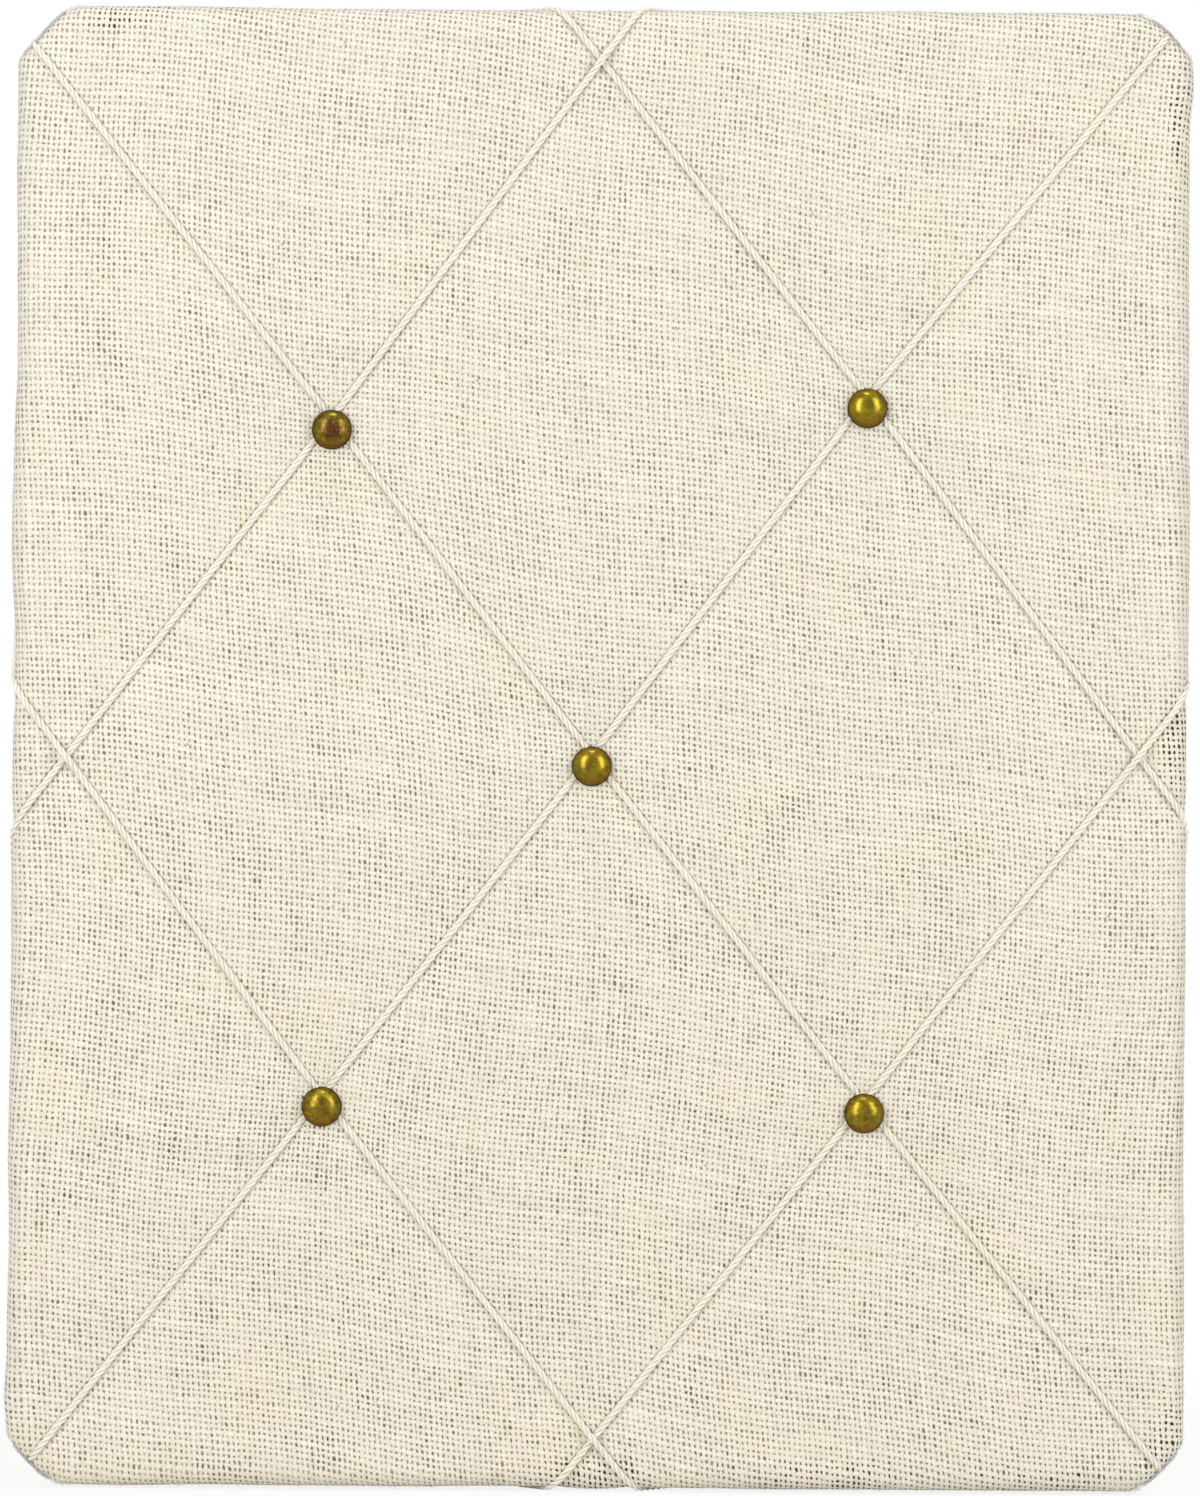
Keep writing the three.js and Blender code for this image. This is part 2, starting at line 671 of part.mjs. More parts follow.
// A notch in the card's top edge keeps each hanger clear, so that the card lies flat on the wall
function hangerNotch(x) {
  const half = RING_INNER_WIDTH / 2 + RING_WIRE + NOTCH_CLEARANCE;
  const low = hangerY - RING_REACH - RING_WIRE / 2 - NOTCH_CLEARANCE;
  const height = BOARD_HEIGHT / 2 - low;
  const box = new THREE.BoxGeometry(2 * half, height, CARD_THICKNESS + 2 * OVERCUT);
  return toSolid(box.translate(x, low + height / 2, CARD_THICKNESS / 2));
}

// Assembly

addCordStaples();
addSideStaples('cloth_staple', CLOTH_STAPLE_INSET, CLOTH_STAPLES_ACROSS, CLOTH_STAPLES_DOWN, clothStapleBack);
addSideStaples('card_staple', CARD_STAPLE_INSET, CARD_STAPLES_ACROSS, CARD_STAPLES_DOWN,
  CARD_STAPLE_SINK, sinkIntoCard);

const underCloth = CLOTH_THICKNESS + SEAT_GAP;
const backWindow = toSolid(slab(boardOutline(CLOTH_RETURN), clothBack - OVERCUT, coreBack));
const cover = cut(paddedBody(0), [paddedBody(CLOTH_THICKNESS), backWindow, ...nailHoles(), ...stapleLegs]);
addPiece('cloth_cover', toGeometry(cover), 'cloth');

const batting = cut(paddedBody(underCloth), [behind(coreFront + SEAT_GAP), ...nailHoles()]);
addPiece('batting_pad', toGeometry(batting), 'batting');

const screwHoles = Object.values(hangers).map(screwHole);
const core = toSolid(slab(boardOutline(underCloth), coreBack, coreFront));
addPiece('core_board', toGeometry(cut(core, [...nailHoles(), ...stapleLegs, ...screwHoles])), 'board');

const card = toSolid(slab(boardOutline(CARD_INSET), 0, CARD_THICKNESS));
const notches = Object.values(hangers).map(hangerNotch);
addPiece('backing_card', toGeometry(cut(card, [...notches, ...cardPockets, ...stapleLegs])), 'card');

cords.forEach((cord, i) => {
  const { knots } = cord;
  const stations = [
    ...edgeStations(cord.start, knots[1]).reverse(),
    ...frontStations(cord, cords.slice(0, i)),
    ...edgeStations(cord.end, knots[knots.length - 2]),
  ];
  addPiece(cord.name, sweep(roundSection(CORD_DIAMETER, CORD_SIDES), stations), 'cord');
});

for (const [name, { x, y }] of Object.entries(nailPlaces)) {
  addPiece(`nail_${name}`, turned(nailProfile(), NAIL_SIDES), 'brass').position.set(x, y, 0);
}

for (const [side, x] of Object.entries(hangers)) addHanger(side, x);

board.rotation.x = Math.PI / 2;

export default board;
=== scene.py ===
# A French memo board: loose cotton over wadding, a lattice of twisted cords, dome nails and ring hangers.
# Metres. X is to the right, Z is up and the front faces -Y; a depth counts forwards from the card's back.

import math
import random
from types import SimpleNamespace

import bmesh
import bpy
import numpy as np
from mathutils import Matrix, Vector, noise


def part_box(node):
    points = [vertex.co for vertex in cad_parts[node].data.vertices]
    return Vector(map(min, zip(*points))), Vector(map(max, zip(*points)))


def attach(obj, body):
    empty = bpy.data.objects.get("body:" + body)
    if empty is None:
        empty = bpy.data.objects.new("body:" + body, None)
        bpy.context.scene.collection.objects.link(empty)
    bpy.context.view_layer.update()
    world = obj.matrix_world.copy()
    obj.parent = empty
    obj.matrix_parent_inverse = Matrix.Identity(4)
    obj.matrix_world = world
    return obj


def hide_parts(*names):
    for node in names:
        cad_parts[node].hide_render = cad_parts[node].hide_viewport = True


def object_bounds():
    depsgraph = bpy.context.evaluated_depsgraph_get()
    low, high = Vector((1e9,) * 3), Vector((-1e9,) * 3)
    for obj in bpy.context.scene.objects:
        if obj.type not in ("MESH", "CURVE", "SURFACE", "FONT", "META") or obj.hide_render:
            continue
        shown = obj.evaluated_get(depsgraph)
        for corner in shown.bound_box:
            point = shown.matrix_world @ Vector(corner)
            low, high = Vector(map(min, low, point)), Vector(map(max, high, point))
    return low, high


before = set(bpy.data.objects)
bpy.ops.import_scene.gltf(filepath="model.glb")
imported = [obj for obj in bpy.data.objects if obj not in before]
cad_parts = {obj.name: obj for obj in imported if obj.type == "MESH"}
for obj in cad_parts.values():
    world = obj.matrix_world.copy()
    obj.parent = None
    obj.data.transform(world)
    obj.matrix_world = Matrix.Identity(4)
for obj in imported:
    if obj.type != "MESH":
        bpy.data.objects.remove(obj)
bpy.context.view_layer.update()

MM = 0.001
TOUCHING = 1e-7

# Board
CORNER_CHOPS = {(1, 1): 12.7 * MM, (-1, 1): 15.1 * MM, (-1, -1): 13 * MM, (1, -1): 12.7 * MM}
CHOP_BULGES = {(1, 1): 0.9 * MM, (-1, 1): 0.3 * MM, (-1, -1): 0.9 * MM, (1, -1): 0.9 * MM}
CORNER_ROUND = 2.4 * MM
EDGE_ROUND = 6 * MM
HEEL_ROUND = 1.2 * MM
CLOTH_RETURN = 24 * MM
CLOTH_THICKNESS = 0.6 * MM
GRID_STEP = 2.5 * MM
OUTLINE_STEPS = 640
CORNER_STEPS = 32
EDGE_ANGLES = (15, 30, 45, 60, 75, 90)
SIDE_STOPS = (0.25, 0.5, 0.75, 1)
HEEL_ANGLES = (30, 60, 90)
RETURN_STOPS = (4 * MM, 8 * MM, 13 * MM, 18.5 * MM, CLOTH_RETURN)
FRONT_BAKE_SHARE = 0.93
BAKE_MARGIN = 0.002
WELD = 1e-6
FLAT_ANGLE = 0.01
CARD_EASE = 0.25 * MM
CORE_EASE = 0.4 * MM
EASE_STEPS = 2

# Relief of the padded front
VALLEY_DIP = 1.9 * MM
VALLEY_REACH = 9 * MM
CHANNEL_DIP = 0.25 * MM
CHANNEL_REACH = 2 * MM
CHANNEL_END = 11 * MM
NAIL_DIP = 1.2 * MM
NAIL_REACH = 11 * MM
DIP_SOFTNESS = 1.3 * MM
DIP_BLEND = 6
PUFF = 0.35 * MM
PUFF_SPAN = 70 * MM
PUFF_SEED = 4.2
EDGE_STAND = 0.25 * MM
EDGE_TILT = 0.45 * MM
EDGE_LEAST = -0.45 * MM
EDGE_WAVE = 0.55 * MM
EDGE_WAVE_SPAN = 34 * MM
EDGE_WAVE_SEED = 1.7
EDGE_DENT = 0.5 * MM
EDGE_DENT_SPAN = 5 * MM
PLEAT_DEPTH = 0.35 * MM
PLEAT_SPREAD = 0.9
PLEAT_START = 0.6
PLEAT_TURN = 0.05
BRIDGE_START = 5 * MM
BRIDGE_END = 11 * MM

# Where the cloth bridges off the wadding: place as shares of the half sides, reach and strength
BRIDGES = [
    (1.0, 0.0, 15 * MM, 1.0), (1.0, -0.95, 14 * MM, 1.0), (0.0, -1.0, 18 * MM, 1.0),
    (0.42, -1.0, 22 * MM, 0.9), (0.75, -1.0, 24 * MM, 0.7), (1.0, 0.85, 28 * MM, 0.6),
    (-0.82, 1.0, 14 * MM, 0.8),
]

# Where the edge stands out or is drawn in: place as shares of the half sides, how far and span
EDGE_STANDS = [
    (1.0, 0.9, 1.4 * MM, 9 * MM), (1.0, 0.3, 0.9 * MM, 30 * MM), (-1.0, 0.29, 0.9 * MM, 18 * MM),
    (-1.0, 0.53, -0.9 * MM, 12 * MM), (-1.0, 0.12, -0.9 * MM, 14 * MM), (-1.0, -0.88, 1.0 * MM, 9 * MM),
    (-0.25, 1.0, -1.0 * MM, 36 * MM),
]

# Weave
WARP_PITCH = 1.535 * MM
WEFT_PITCH = 1.82 * MM
WEFT_SLOPE = 0.165
WEFT_EASE = 0.92
WEFT_WAVE = 0.7 * MM
WEFT_WAVE_SPAN = 85 * MM
WARP_LEAN = 0.014
WARP_WAVES = [(2.5 * MM, 280 * MM, 44 * MM), (0.6 * MM, 150 * MM, -26 * MM)]
WEAVE_DRIFT = 1.2 * MM
WEAVE_DRIFT_SPAN = 60 * MM
WEAVE_DRIFT_SEEDS = (8.3, 15.6)
NAIL_PULL = 1.3 * MM
NAIL_PULL_REACH = 22 * MM

# Wadding
WADDING_STEP = 6 * MM
WADDING_INSET = 1.6 * MM
WADDING_CLEARANCE = 1.0 * MM
WADDING_ANGLES = (30, 60, 90)

# Cords
CORD_RADIUS = 0.98 * MM
STRAND_RADIUS = 0.52 * MM
STRAND_OFFSET = 0.51 * MM
STRANDS = 3
STRAND_SIDES = 8
CORD_LAY = 7.8 * MM
CORD_STEP = 0.8 * MM
CORD_SMOOTHING = 3
CORD_ROUND_STEPS = 10
CORD_HEEL_STEPS = 7
CORD_SINK = 0.38 * MM
CORD_SINK_AT_EDGE = 0.72 * MM
CORD_SQUASH = 0.8 * MM
CORD_TAIL = 19 * MM
CORD_PASS = 2 * MM
CROSSING_REACH = 6 * MM
CROSSING_REACH_UNDER_NAIL = 3.6 * MM
CROSSING_LIFT = 1.8 * MM
TOP_LEFT_CORNER_SLIDE = 0.44

# Nails
NAIL_RADIUS = 5.8 * MM
NAIL_HEIGHT = 4.6 * MM
NAIL_WALL = 0.8 * MM
NAIL_RIM = 20 * MM
NAIL_SHANK = 0.9 * MM
NAIL_POINT = 7 * MM
NAIL_POINT_LENGTH = 2.5 * MM
NAIL_SIDES = 56
NAIL_STEPS = 18
NAIL_LIP_STEPS = 5
NAIL_LIP_START = 0.5 - math.pi
NAIL_LIP_END = -0.4
NAIL_LIP_FLATNESS = 0.3
NAIL_DENT = 0.05 * MM
NAIL_DENTS_PER_METRE = 330
NAIL_SEED_STEP = 3.1

# Loose fibres along the edge; each kind has its count, shortest and longest length, and points
FIBRE_KINDS = [(24, 1.0 * MM, 2.6 * MM, 7), (7000, 0.4 * MM, 1.2 * MM, 4)]
FIBRE_SEED = 11
FIBRE_RADIUS = 0.04 * MM
FIBRE_SIDES = 3
FIBRE_FIRST_SIDE = (0, 1, 0.2)
FIBRE_ROOT = 0.5 * MM
FIBRE_SPREAD = 0.5
FIBRE_DROOP = 0.35
FIBRE_LEAN = 0.84
FIBRE_CURL = 0.8
FIBRE_CURL_DEPTH = 0.6

# Hangers
RING_WIRE = 1.1 * MM
RING_HALF_WIDTH = 9.1 * MM
RING_REACH = 24 * MM
RING_CORNER = 3 * MM
RING_BUTT_GAP = 0.4 * MM
RING_SIDES = 20
RING_STEP = 0.5 * MM
RING_CORNER_STEPS = 12
RING_BOW_STEPS = 40
STRAP_LEAF = 0.8 * MM
STRAP_WIDTH = 10 * MM
STRAP_LENGTH = 14 * MM
STRAP_BARREL = 1.65 * MM
STRAP_FOLD_STEPS = 40
STRAP_FOLD_END = 0.93 * math.pi
STRAP_NEAR_BEND = 0.6 * MM
STRAP_FAR_BEND = 2.6 * MM
STRAP_FAR_SHORT = 0.4 * MM
STRAP_LEAF_PITCH = STRAP_LEAF * 1.02
STRAP_SHEET = STRAP_LEAF * 0.96
STRAP_EASE = 0.22 * MM
STRAP_EASE_STEPS = 4
STRAP_STEP = 0.25 * MM
STRAP_SMOOTHING = 2
SCREW_HEAD = 3.2 * MM
SCREW_HEIGHT = 1.7 * MM
SCREW_LENGTH = 8 * MM
SCREW_SHANK = 1.4 * MM
SCREW_TAPER_START = 3.2 * MM
SCREW_TIP_START = 4.8 * MM
SCREW_TIP = 0.7 * MM
SCREW_NECK = 3.104 * MM
SCREW_SIDES = 64
SCREW_CROWN_STEPS = 26
SCREW_CROWN_SHAPE = 0.6
RECESS_REACH = 1.76 * MM
RECESS_DEPTH = 0.9 * MM
RECESS_HALF_WIDTH = 0.3 * MM
RECESS_WALL = 0.25 * MM
RECESS_END = 0.5 * MM

# Stage and camera
FLOOR_RADIUS = 1.4
FLOOR_SEGMENTS = 96
CAMERA_DISTANCE = 2.5
FRAME_HEIGHT = 432.8 * MM
SENSOR = 36.0
CAMERA_ROLL = -0.0073
CAMERA_ACROSS = 0.1 * MM
CAMERA_UP = -0.22 * MM

# Lights: place, width, height and power of each
FILL_LIGHT = 0.1
SOFTBOXES = {
    "top_light": ((-0.05, -0.06, 1.25), 0.5, 0.2, 3.4),
    "left_softbox": ((-0.76, -0.82, 0.44), 0.45, 1.25, 9.1),
    "right_softbox": ((0.86, -0.72, 0.44), 0.45, 1.25, 7.8),
    "back_softbox": ((0.35, 1.2, 0.3), 0.9, 0.9, 11.0),
}

cloth_low, cloth_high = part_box("cloth_cover")
HALF_WIDTH = cloth_high.x
HALF_HEIGHT = cloth_high.z
CLOTH_FRONT = -cloth_low.y
CLOTH_BACK = -cloth_high.y
EDGE_DEPTH = CLOTH_FRONT - EDGE_ROUND

# How brown each nail's crown is, and how speckled it is
NAIL_WEAR = {
    "top_left": (1.0, 0.6),
    "top_right": (0.0, 0.12),
    "centre": (0.15, 0.15),
    "bottom_left": (0.36, 0.5),
    "bottom_right": (0.25, 0.4),
}
NAILS = list(NAIL_WEAR)


def nail_place(name):
    low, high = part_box(f"nail_{name}")
    middle = (low + high) / 2
    return np.array([middle.x, middle.z])


nail_places = {name: nail_place(name) for name in NAILS}


# Shader maths

class Value:
    """A socket of a node tree; arithmetic on it adds Math nodes."""

    def __init__(self, nodes, socket):
        self.nodes = nodes
        self.socket = socket

    def math(self, operation, *others):
        return self.nodes.node("Math", {"operation": operation}, dict(enumerate((self, *others))))

    def __add__(self, other):
        return self.math("ADD", other)

    def __sub__(self, other):
        return self.math("SUBTRACT", other)

    def __rsub__(self, other):
        return self.nodes.node("Math", {"operation": "SUBTRACT"}, {0: other, 1: self})

    def __mul__(self, other):
        return self.math("MULTIPLY", other)

    def __truediv__(self, other):
        return self.math("DIVIDE", other)

    def __pow__(self, other):
        return self.math("POWER", other)

    def __abs__(self):
        return self.math("ABSOLUTE")

    __radd__ = __add__
    __rmul__ = __mul__


class Nodes:
    """A node tree under way: each node gets its settings first, then the values or links of its sockets."""

    def __init__(self, tree):
        self.tree = tree

    def node(self, kind, settings=None, sockets=None, output=0):
        made = self.tree.nodes.new("ShaderNode" + kind)
        for name, setting in (settings or {}).items():
            setattr(made, name, setting)
        for name, value in (sockets or {}).items():
            self.feed(made.inputs[name], value)
        return Value(self, made.outputs[output])

    def feed(self, socket, value):
        if isinstance(value, Value):
            self.tree.links.new(value.socket, socket)
        else:
            socket.default_value = value

    def shown(self):
        """1 where the camera looks, straight, in a mirror or through glass, and 0 for all other light."""
        seen = self.node("LightPath", output="Is Camera Ray")
        for way in ("Is Glossy Ray", "Is Transmission Ray"):
            seen = seen.math("MAXIMUM", self.node("LightPath", output=way))
        return seen


class Paint(Nodes):
    """A material under way: one principled shader and the nodes that feed it."""

    def __init__(self, name, **constants):
        self.material = bpy.data.materials.new(name)
        self.material.use_nodes = True
        super().__init__(self.material.node_tree)
        self.shader = self.tree.nodes["Principled BSDF"]
        for socket, value in constants.items():
            self.shader.inputs[socket.replace("_", " ")].default_value = value

    def wear(self, **channels):
        for name, value in channels.items():
            self.feed(self.shader.inputs[name.replace("_", " ")], value)
        return self.material

    def noise(self, vector, scale, detail=1.0, roughness=0.5, output=0):
        sockets = {"Vector": vector, "Scale": scale, "Detail": detail, "Roughness": roughness}
        return self.node("TexNoise", {}, sockets, output)

    def streaks(self, vector, factors, shift=(0, 0, 0), detail=1.0, roughness=0.5):
        return self.noise(self.stretch(vector, factors, shift), 1.0, detail, roughness)

    def stretch(self, vector, factors, shift=(0, 0, 0)):
        return self.node("VectorMath", {"operation": "MULTIPLY_ADD"}, {0: vector, 1: factors, 2: shift})

    def ramp(self, value, low, high, start=0.0, end=1.0):
        sockets = {"Value": value, "From Min": low, "From Max": high, "To Min": start, "To Max": end}
        return self.node("MapRange", {"interpolation_type": "SMOOTHSTEP"}, sockets)

    def mix(self, share, first, second, way="MIX"):
        settings = {"data_type": "RGBA", "blend_type": way}
        return self.node("Mix", settings, {0: share, 6: first, 7: second}, output=2)

    def bump(self, height, distance, strength=1.0):
        return self.node("Bump", {}, {"Height": height, "Distance": distance, "Strength": strength})

    def length(self, vector):
        return self.node("VectorMath", {"operation": "LENGTH"}, {0: vector}, "Value")

    def place(self):
        return self.node("TexCoord", output="Object")

    def layout(self, name):
        return self.node("UVMap", {"uv_map": name})

    def split(self, vector):
        made = self.node("SeparateXYZ", {}, {0: vector}).socket.node
        return [Value(self, socket) for socket in made.outputs]

    def join(self, x, y):
        return self.node("CombineXYZ", {}, {0: x, 1: y})


def tone(red, green, blue):
    """A colour as a screen shows it, 0 to 255, in the linear light that shaders work in."""
    def linear(value):
        share = value / 255
        return share / 12.92 if share <= 0.04045 else ((share + 0.055) / 1.055) ** 2.4

    return (linear(red), linear(green), linear(blue), 1.0)


# Finishes

def cotton_weave():
    """Loose plain-weave cotton: uneven threads with small holes between them, read in thread counts."""
    paint = Paint("cotton_weave", Roughness=0.92, Specular_IOR_Level=0.2)
    paint.wear(Sheen_Weight=0.25, Sheen_Roughness=0.5)
    threads = paint.layout("Threads")
    warp_wander = paint.streaks(threads, (0.8, 0.12, 0)) - 0.5
    weft_wander = paint.streaks(threads, (0.12, 0.8, 0), (37, 11, 0)) - 0.5
    warp_nudge, weft_nudge, _ = paint.split(paint.noise(threads, 0.85, output="Color"))
    across, along, _ = paint.split(threads)
    warp = across + warp_wander * 0.5 + (warp_nudge - 0.5) * 0.42
    weft = along + weft_wander * 0.5 + (weft_nudge - 0.5) * 0.42
    warp_gap = abs(warp.math("FRACT") - 0.5)
    weft_gap = abs(weft.math("FRACT") - 0.5)
    cell = paint.join(warp.math("FLOOR"), weft.math("FLOOR"))
    draw = paint.node("TexWhiteNoise", {"noise_dimensions": "2D"}, {"Vector": cell}, "Color")
    width_draw, height_draw, depth_draw = paint.split(draw)

    # Thick places in a thread close the holes beside it
    weft_slub = paint.ramp(paint.streaks(threads, (0.03, 0.8, 0), (5, 71, 0)), 0.62, 0.8)
    warp_slub = paint.ramp(paint.streaks(threads, (0.8, 0.03, 0), (91, 3, 0)), 0.66, 0.84)
    slub = weft_slub.math("MAXIMUM", warp_slub)
    density = paint.noise(threads, 0.09, 3.0, 0.6)
    bridge = paint.node("Attribute", {"attribute_name": "bridge"}, output="Fac")
    open_share = paint.ramp(density, 0.3, 0.7, 0.8, 1.2) * (1 - slub * 0.5) + bridge * 0.2
    hole_width = (0.1 + width_draw * 0.13) * open_share
    hole_height = (0.13 + height_draw * 0.18) * open_share
    spread = (warp_gap / hole_width) ** 2.2 + (weft_gap / hole_height) ** 2.2
    hole = 1 - paint.ramp(spread, 0.4, 1.7)

    # Which thread lies on top, and how high it stands
    warp_number = (warp + 0.5).math("FLOOR")
    weft_number = (weft + 0.5).math("FLOOR")
    weft_over = (warp_number + weft_number).math("PINGPONG", 1.0)
    warp_round = 1 - ((0.5 - warp_gap) / 0.37) ** 2.0
    weft_round = 1 - ((0.5 - weft_gap) / 0.37) ** 2.0
    warp_height = warp_round * (1 - weft_over * 0.5)
    weft_height = weft_round * (weft_over * 0.5 + 0.5)
    height = warp_height.math("MAXIMUM", weft_height).math("MAXIMUM", 0.0)

    warp_tint = paint.node("TexWhiteNoise", {"noise_dimensions": "1D"}, {"W": warp_number})
    weft_tint = paint.node("TexWhiteNoise", {"noise_dimensions": "1D"}, {"W": weft_number + 0.37})
    fibre = paint.noise(threads, 3.2, 3.0, 0.75)
    # Thread tone: random tints, fibre and thick places, plus painted light and shade from how high each
    # thread stands.
    light = warp_tint * 0.06 + weft_tint * 0.08 + fibre * 0.7 + height * 0.42 + slub * 0.12
    thread = paint.mix(paint.ramp(light, 0.25, 1.05), tone(215, 206, 188), tone(255, 250, 237))
    warm = paint.ramp(paint.noise(threads, 0.05, 3.0), 0.45, 0.7, 0.0, 0.3)
    thread = paint.mix(warm, thread, tone(246, 236, 206))
    blush = paint.noise(paint.stretch(threads, (1, 1, 1), (50, 90, 0)), 0.16, 2.0)
    thread = paint.mix(paint.ramp(blush, 0.48, 0.7, 0.0, 0.26), thread, tone(246, 231, 220))
    green = paint.noise(paint.stretch(threads, (1, 1, 1), (150, 20, 0)), 0.12, 2.0)
    thread = paint.mix(paint.ramp(green, 0.52, 0.72, 0.0, 0.3), thread, tone(236, 237, 214))

    # Holes get painted shade for the wadding seen through them, growing darker towards the bottom, and a
    # darker painted shade where the cloth bridges off it
    lower = paint.ramp(along, -110, 110, -0.38, -0.17)
    shade = paint.noise(threads, 0.14, 2.0) * 1.1 + lower + depth_draw * 0.4
    painted_hole_shade = paint.mix(shade.math("MINIMUM", 1.0), tone(92, 84, 58), tone(190, 182, 157))
    darker_painted_shade = paint.ramp(bridge + depth_draw * 0.35, 0.4, 0.8)
    painted_hole_shade = paint.mix(darker_painted_shade, painted_hole_shade, tone(52, 44, 38))
    colour = paint.mix(hole, thread, painted_hole_shade)

    # Painted contact shadow, olive and patchy, in the crease along each cord
    beside, _, _ = paint.split(paint.layout("Cords"))
    crease = 1 - paint.ramp(abs(beside), 0.95, 1.6)
    painted_cord_shadow = crease * paint.ramp(paint.noise(threads, 0.5, 2.0), 0.3, 0.65, 0.15, 0.6)
    colour = paint.mix(painted_cord_shadow, colour, tone(164, 150, 84))

    # Seed flecks caught in the yarn
    speck = paint.node("TexVoronoi", {"voronoi_dimensions": "2D"}, {"Vector": threads, "Scale": 0.034})
    fleck = 1 - paint.ramp(speck, 0.004, 0.014)
    colour = paint.mix(fleck * 0.55, colour, tone(150, 132, 84))
    relief = (height + fibre * 0.3) * (1 - hole)
    return paint.wear(Base_Color=colour, Normal=paint.bump(relief, 0.35 * MM, 0.6))


def cord_cotton():
    """Off-white cotton cord: fine fibres along each strand, shaded where the strands meet."""
    paint = Paint("cord_cotton", Roughness=0.8, Specular_IOR_Level=0.3)
    paint.wear(Sheen_Weight=0.1, Sheen_Roughness=0.5)
    yarn = paint.layout("Yarn")
    streak = paint.streaks(yarn, (5, 22, 0), detail=3.0, roughness=0.65)
    age = paint.noise(paint.place(), 28.0, 2.0)
    _, around, _ = paint.split(yarn)
    crown = paint.ramp(abs(around - 0.5), 0.12, 0.3)
    colour = paint.mix(paint.ramp(streak, 0.3, 0.7), tone(253, 249, 239), tone(255, 253, 246))
    colour = paint.mix(paint.ramp(age, 0.42, 0.75, 0.0, 0.3), colour, tone(252, 245, 229))
    colour = paint.mix(crown, tone(229, 219, 192), colour)
    return paint.wear(Base_Color=colour, Normal=paint.bump(streak, 0.08 * MM, 0.7))


def cotton_lint():
    """Pale grey lint that stands off the cloth: its grey is painted shade for the edge turning away."""
    paint = Paint("cotton_lint", Roughness=0.9, Specular_IOR_Level=0.2, Sheen_Weight=0.2)
    yarn = paint.layout("Yarn")
    streak = paint.streaks(yarn, (9, 3, 0), detail=2.0)
    colour = paint.mix(paint.ramp(streak, 0.3, 0.7), tone(198, 197, 203), tone(228, 226, 226))
    return paint.wear(Base_Color=colour)


def aged_brass(name, crown_brown, speckle):
    """Antique brass: painted shade at the rim, clouded on the dome and browner towards its lower side, some
    with a brown crown or specks.
    """
    x, z = nail_places[name]
    paint = Paint(f"aged_brass_{name}", Metallic=1.0, Coat_Roughness=0.1, Specular_Tint=tone(190, 160, 70))
    place = paint.place()
    per_radius = 1 / NAIL_RADIUS
    spoke = paint.stretch(place, (per_radius, 0, per_radius), (-x * per_radius, 0, -z * per_radius))
    radius = paint.length(spoke)
    cloud = paint.noise(place, 420.0, 4.0, 0.65)
    speck = paint.noise(place, 1300.0, 2.0, 0.6)
    scratch = paint.streaks(place, (500, 2600, 900), detail=2.0)
    metal = paint.mix(paint.ramp(cloud, 0.3, 0.7), tone(104, 87, 1), tone(150, 130, 10))
    metal = paint.mix(crown_brown ** 2 * 0.35, metal, tone(78, 66, 4))
    blotch = paint.ramp(speck, 0.35, 0.6, 0.8, 1.0)
    brown = (1 - paint.ramp(radius + (cloud - 0.5) * 0.6, 0.25, 0.75)) * blotch * crown_brown
    metal = paint.mix(brown, metal, tone(74, 34, 6))
    metal = paint.mix(paint.ramp(speck, 0.5, 0.62, 0.0, speckle), metal, tone(70, 46, 10))
    metal = paint.mix(paint.ramp(1 - speck, 0.6, 0.7, 0.0, speckle * 0.35), metal, tone(196, 172, 100))
    _, _, height = paint.split(spoke)
    # Browner towards the lower side of the dome
    browner_below = paint.ramp(cloud * 0.5 - height, 0.55, 1.2, 0.0, 0.5)
    metal = paint.mix(browner_below, metal, tone(112, 62, 4))
    # Painted shade darkens the rim, where the lip meets the cloth
    rim = paint.ramp(radius + (cloud - 0.5) * 0.06, 0.91, 1.0)
    metal = paint.mix(rim * 0.74, metal, tone(62, 42, 2))
    roughness = paint.ramp(cloud, 0.3, 0.7, 0.22, 0.3) + brown * 0.14 + rim * 0.15 + scratch * 0.05
    lacquer = 0.3 - rim * 0.27
    bump = paint.bump(scratch, 0.03 * MM, 0.4)
    return paint.wear(Base_Color=metal, Roughness=roughness, Coat_Weight=lacquer, Normal=bump)


def plated_steel(name, pale, dull, grain):
    """Zinc-plated steel: a faint crystal mottle and drawing lines."""
    paint = Paint(name, Metallic=1.0)
    place = paint.place()
    mottle = paint.node("TexVoronoi", {"feature": "SMOOTH_F1"}, {"Vector": place, "Scale": grain}, "Color")
    mottle_share = paint.node("RGBToBW", {}, {0: mottle})
    cloud = paint.noise(place, grain * 0.7, 3.0)
    line = paint.streaks(place, (3000, 3000, 160), detail=2.0)
    share = mottle_share * 0.5 + cloud * 0.5
    colour = paint.mix(share, dull, pale)
    roughness = paint.ramp(cloud, 0.3, 0.7, 0.28, 0.46) + line * 0.08
    return paint.wear(Base_Color=colour, Roughness=roughness, Normal=paint.bump(line, 0.02 * MM, 0.35))


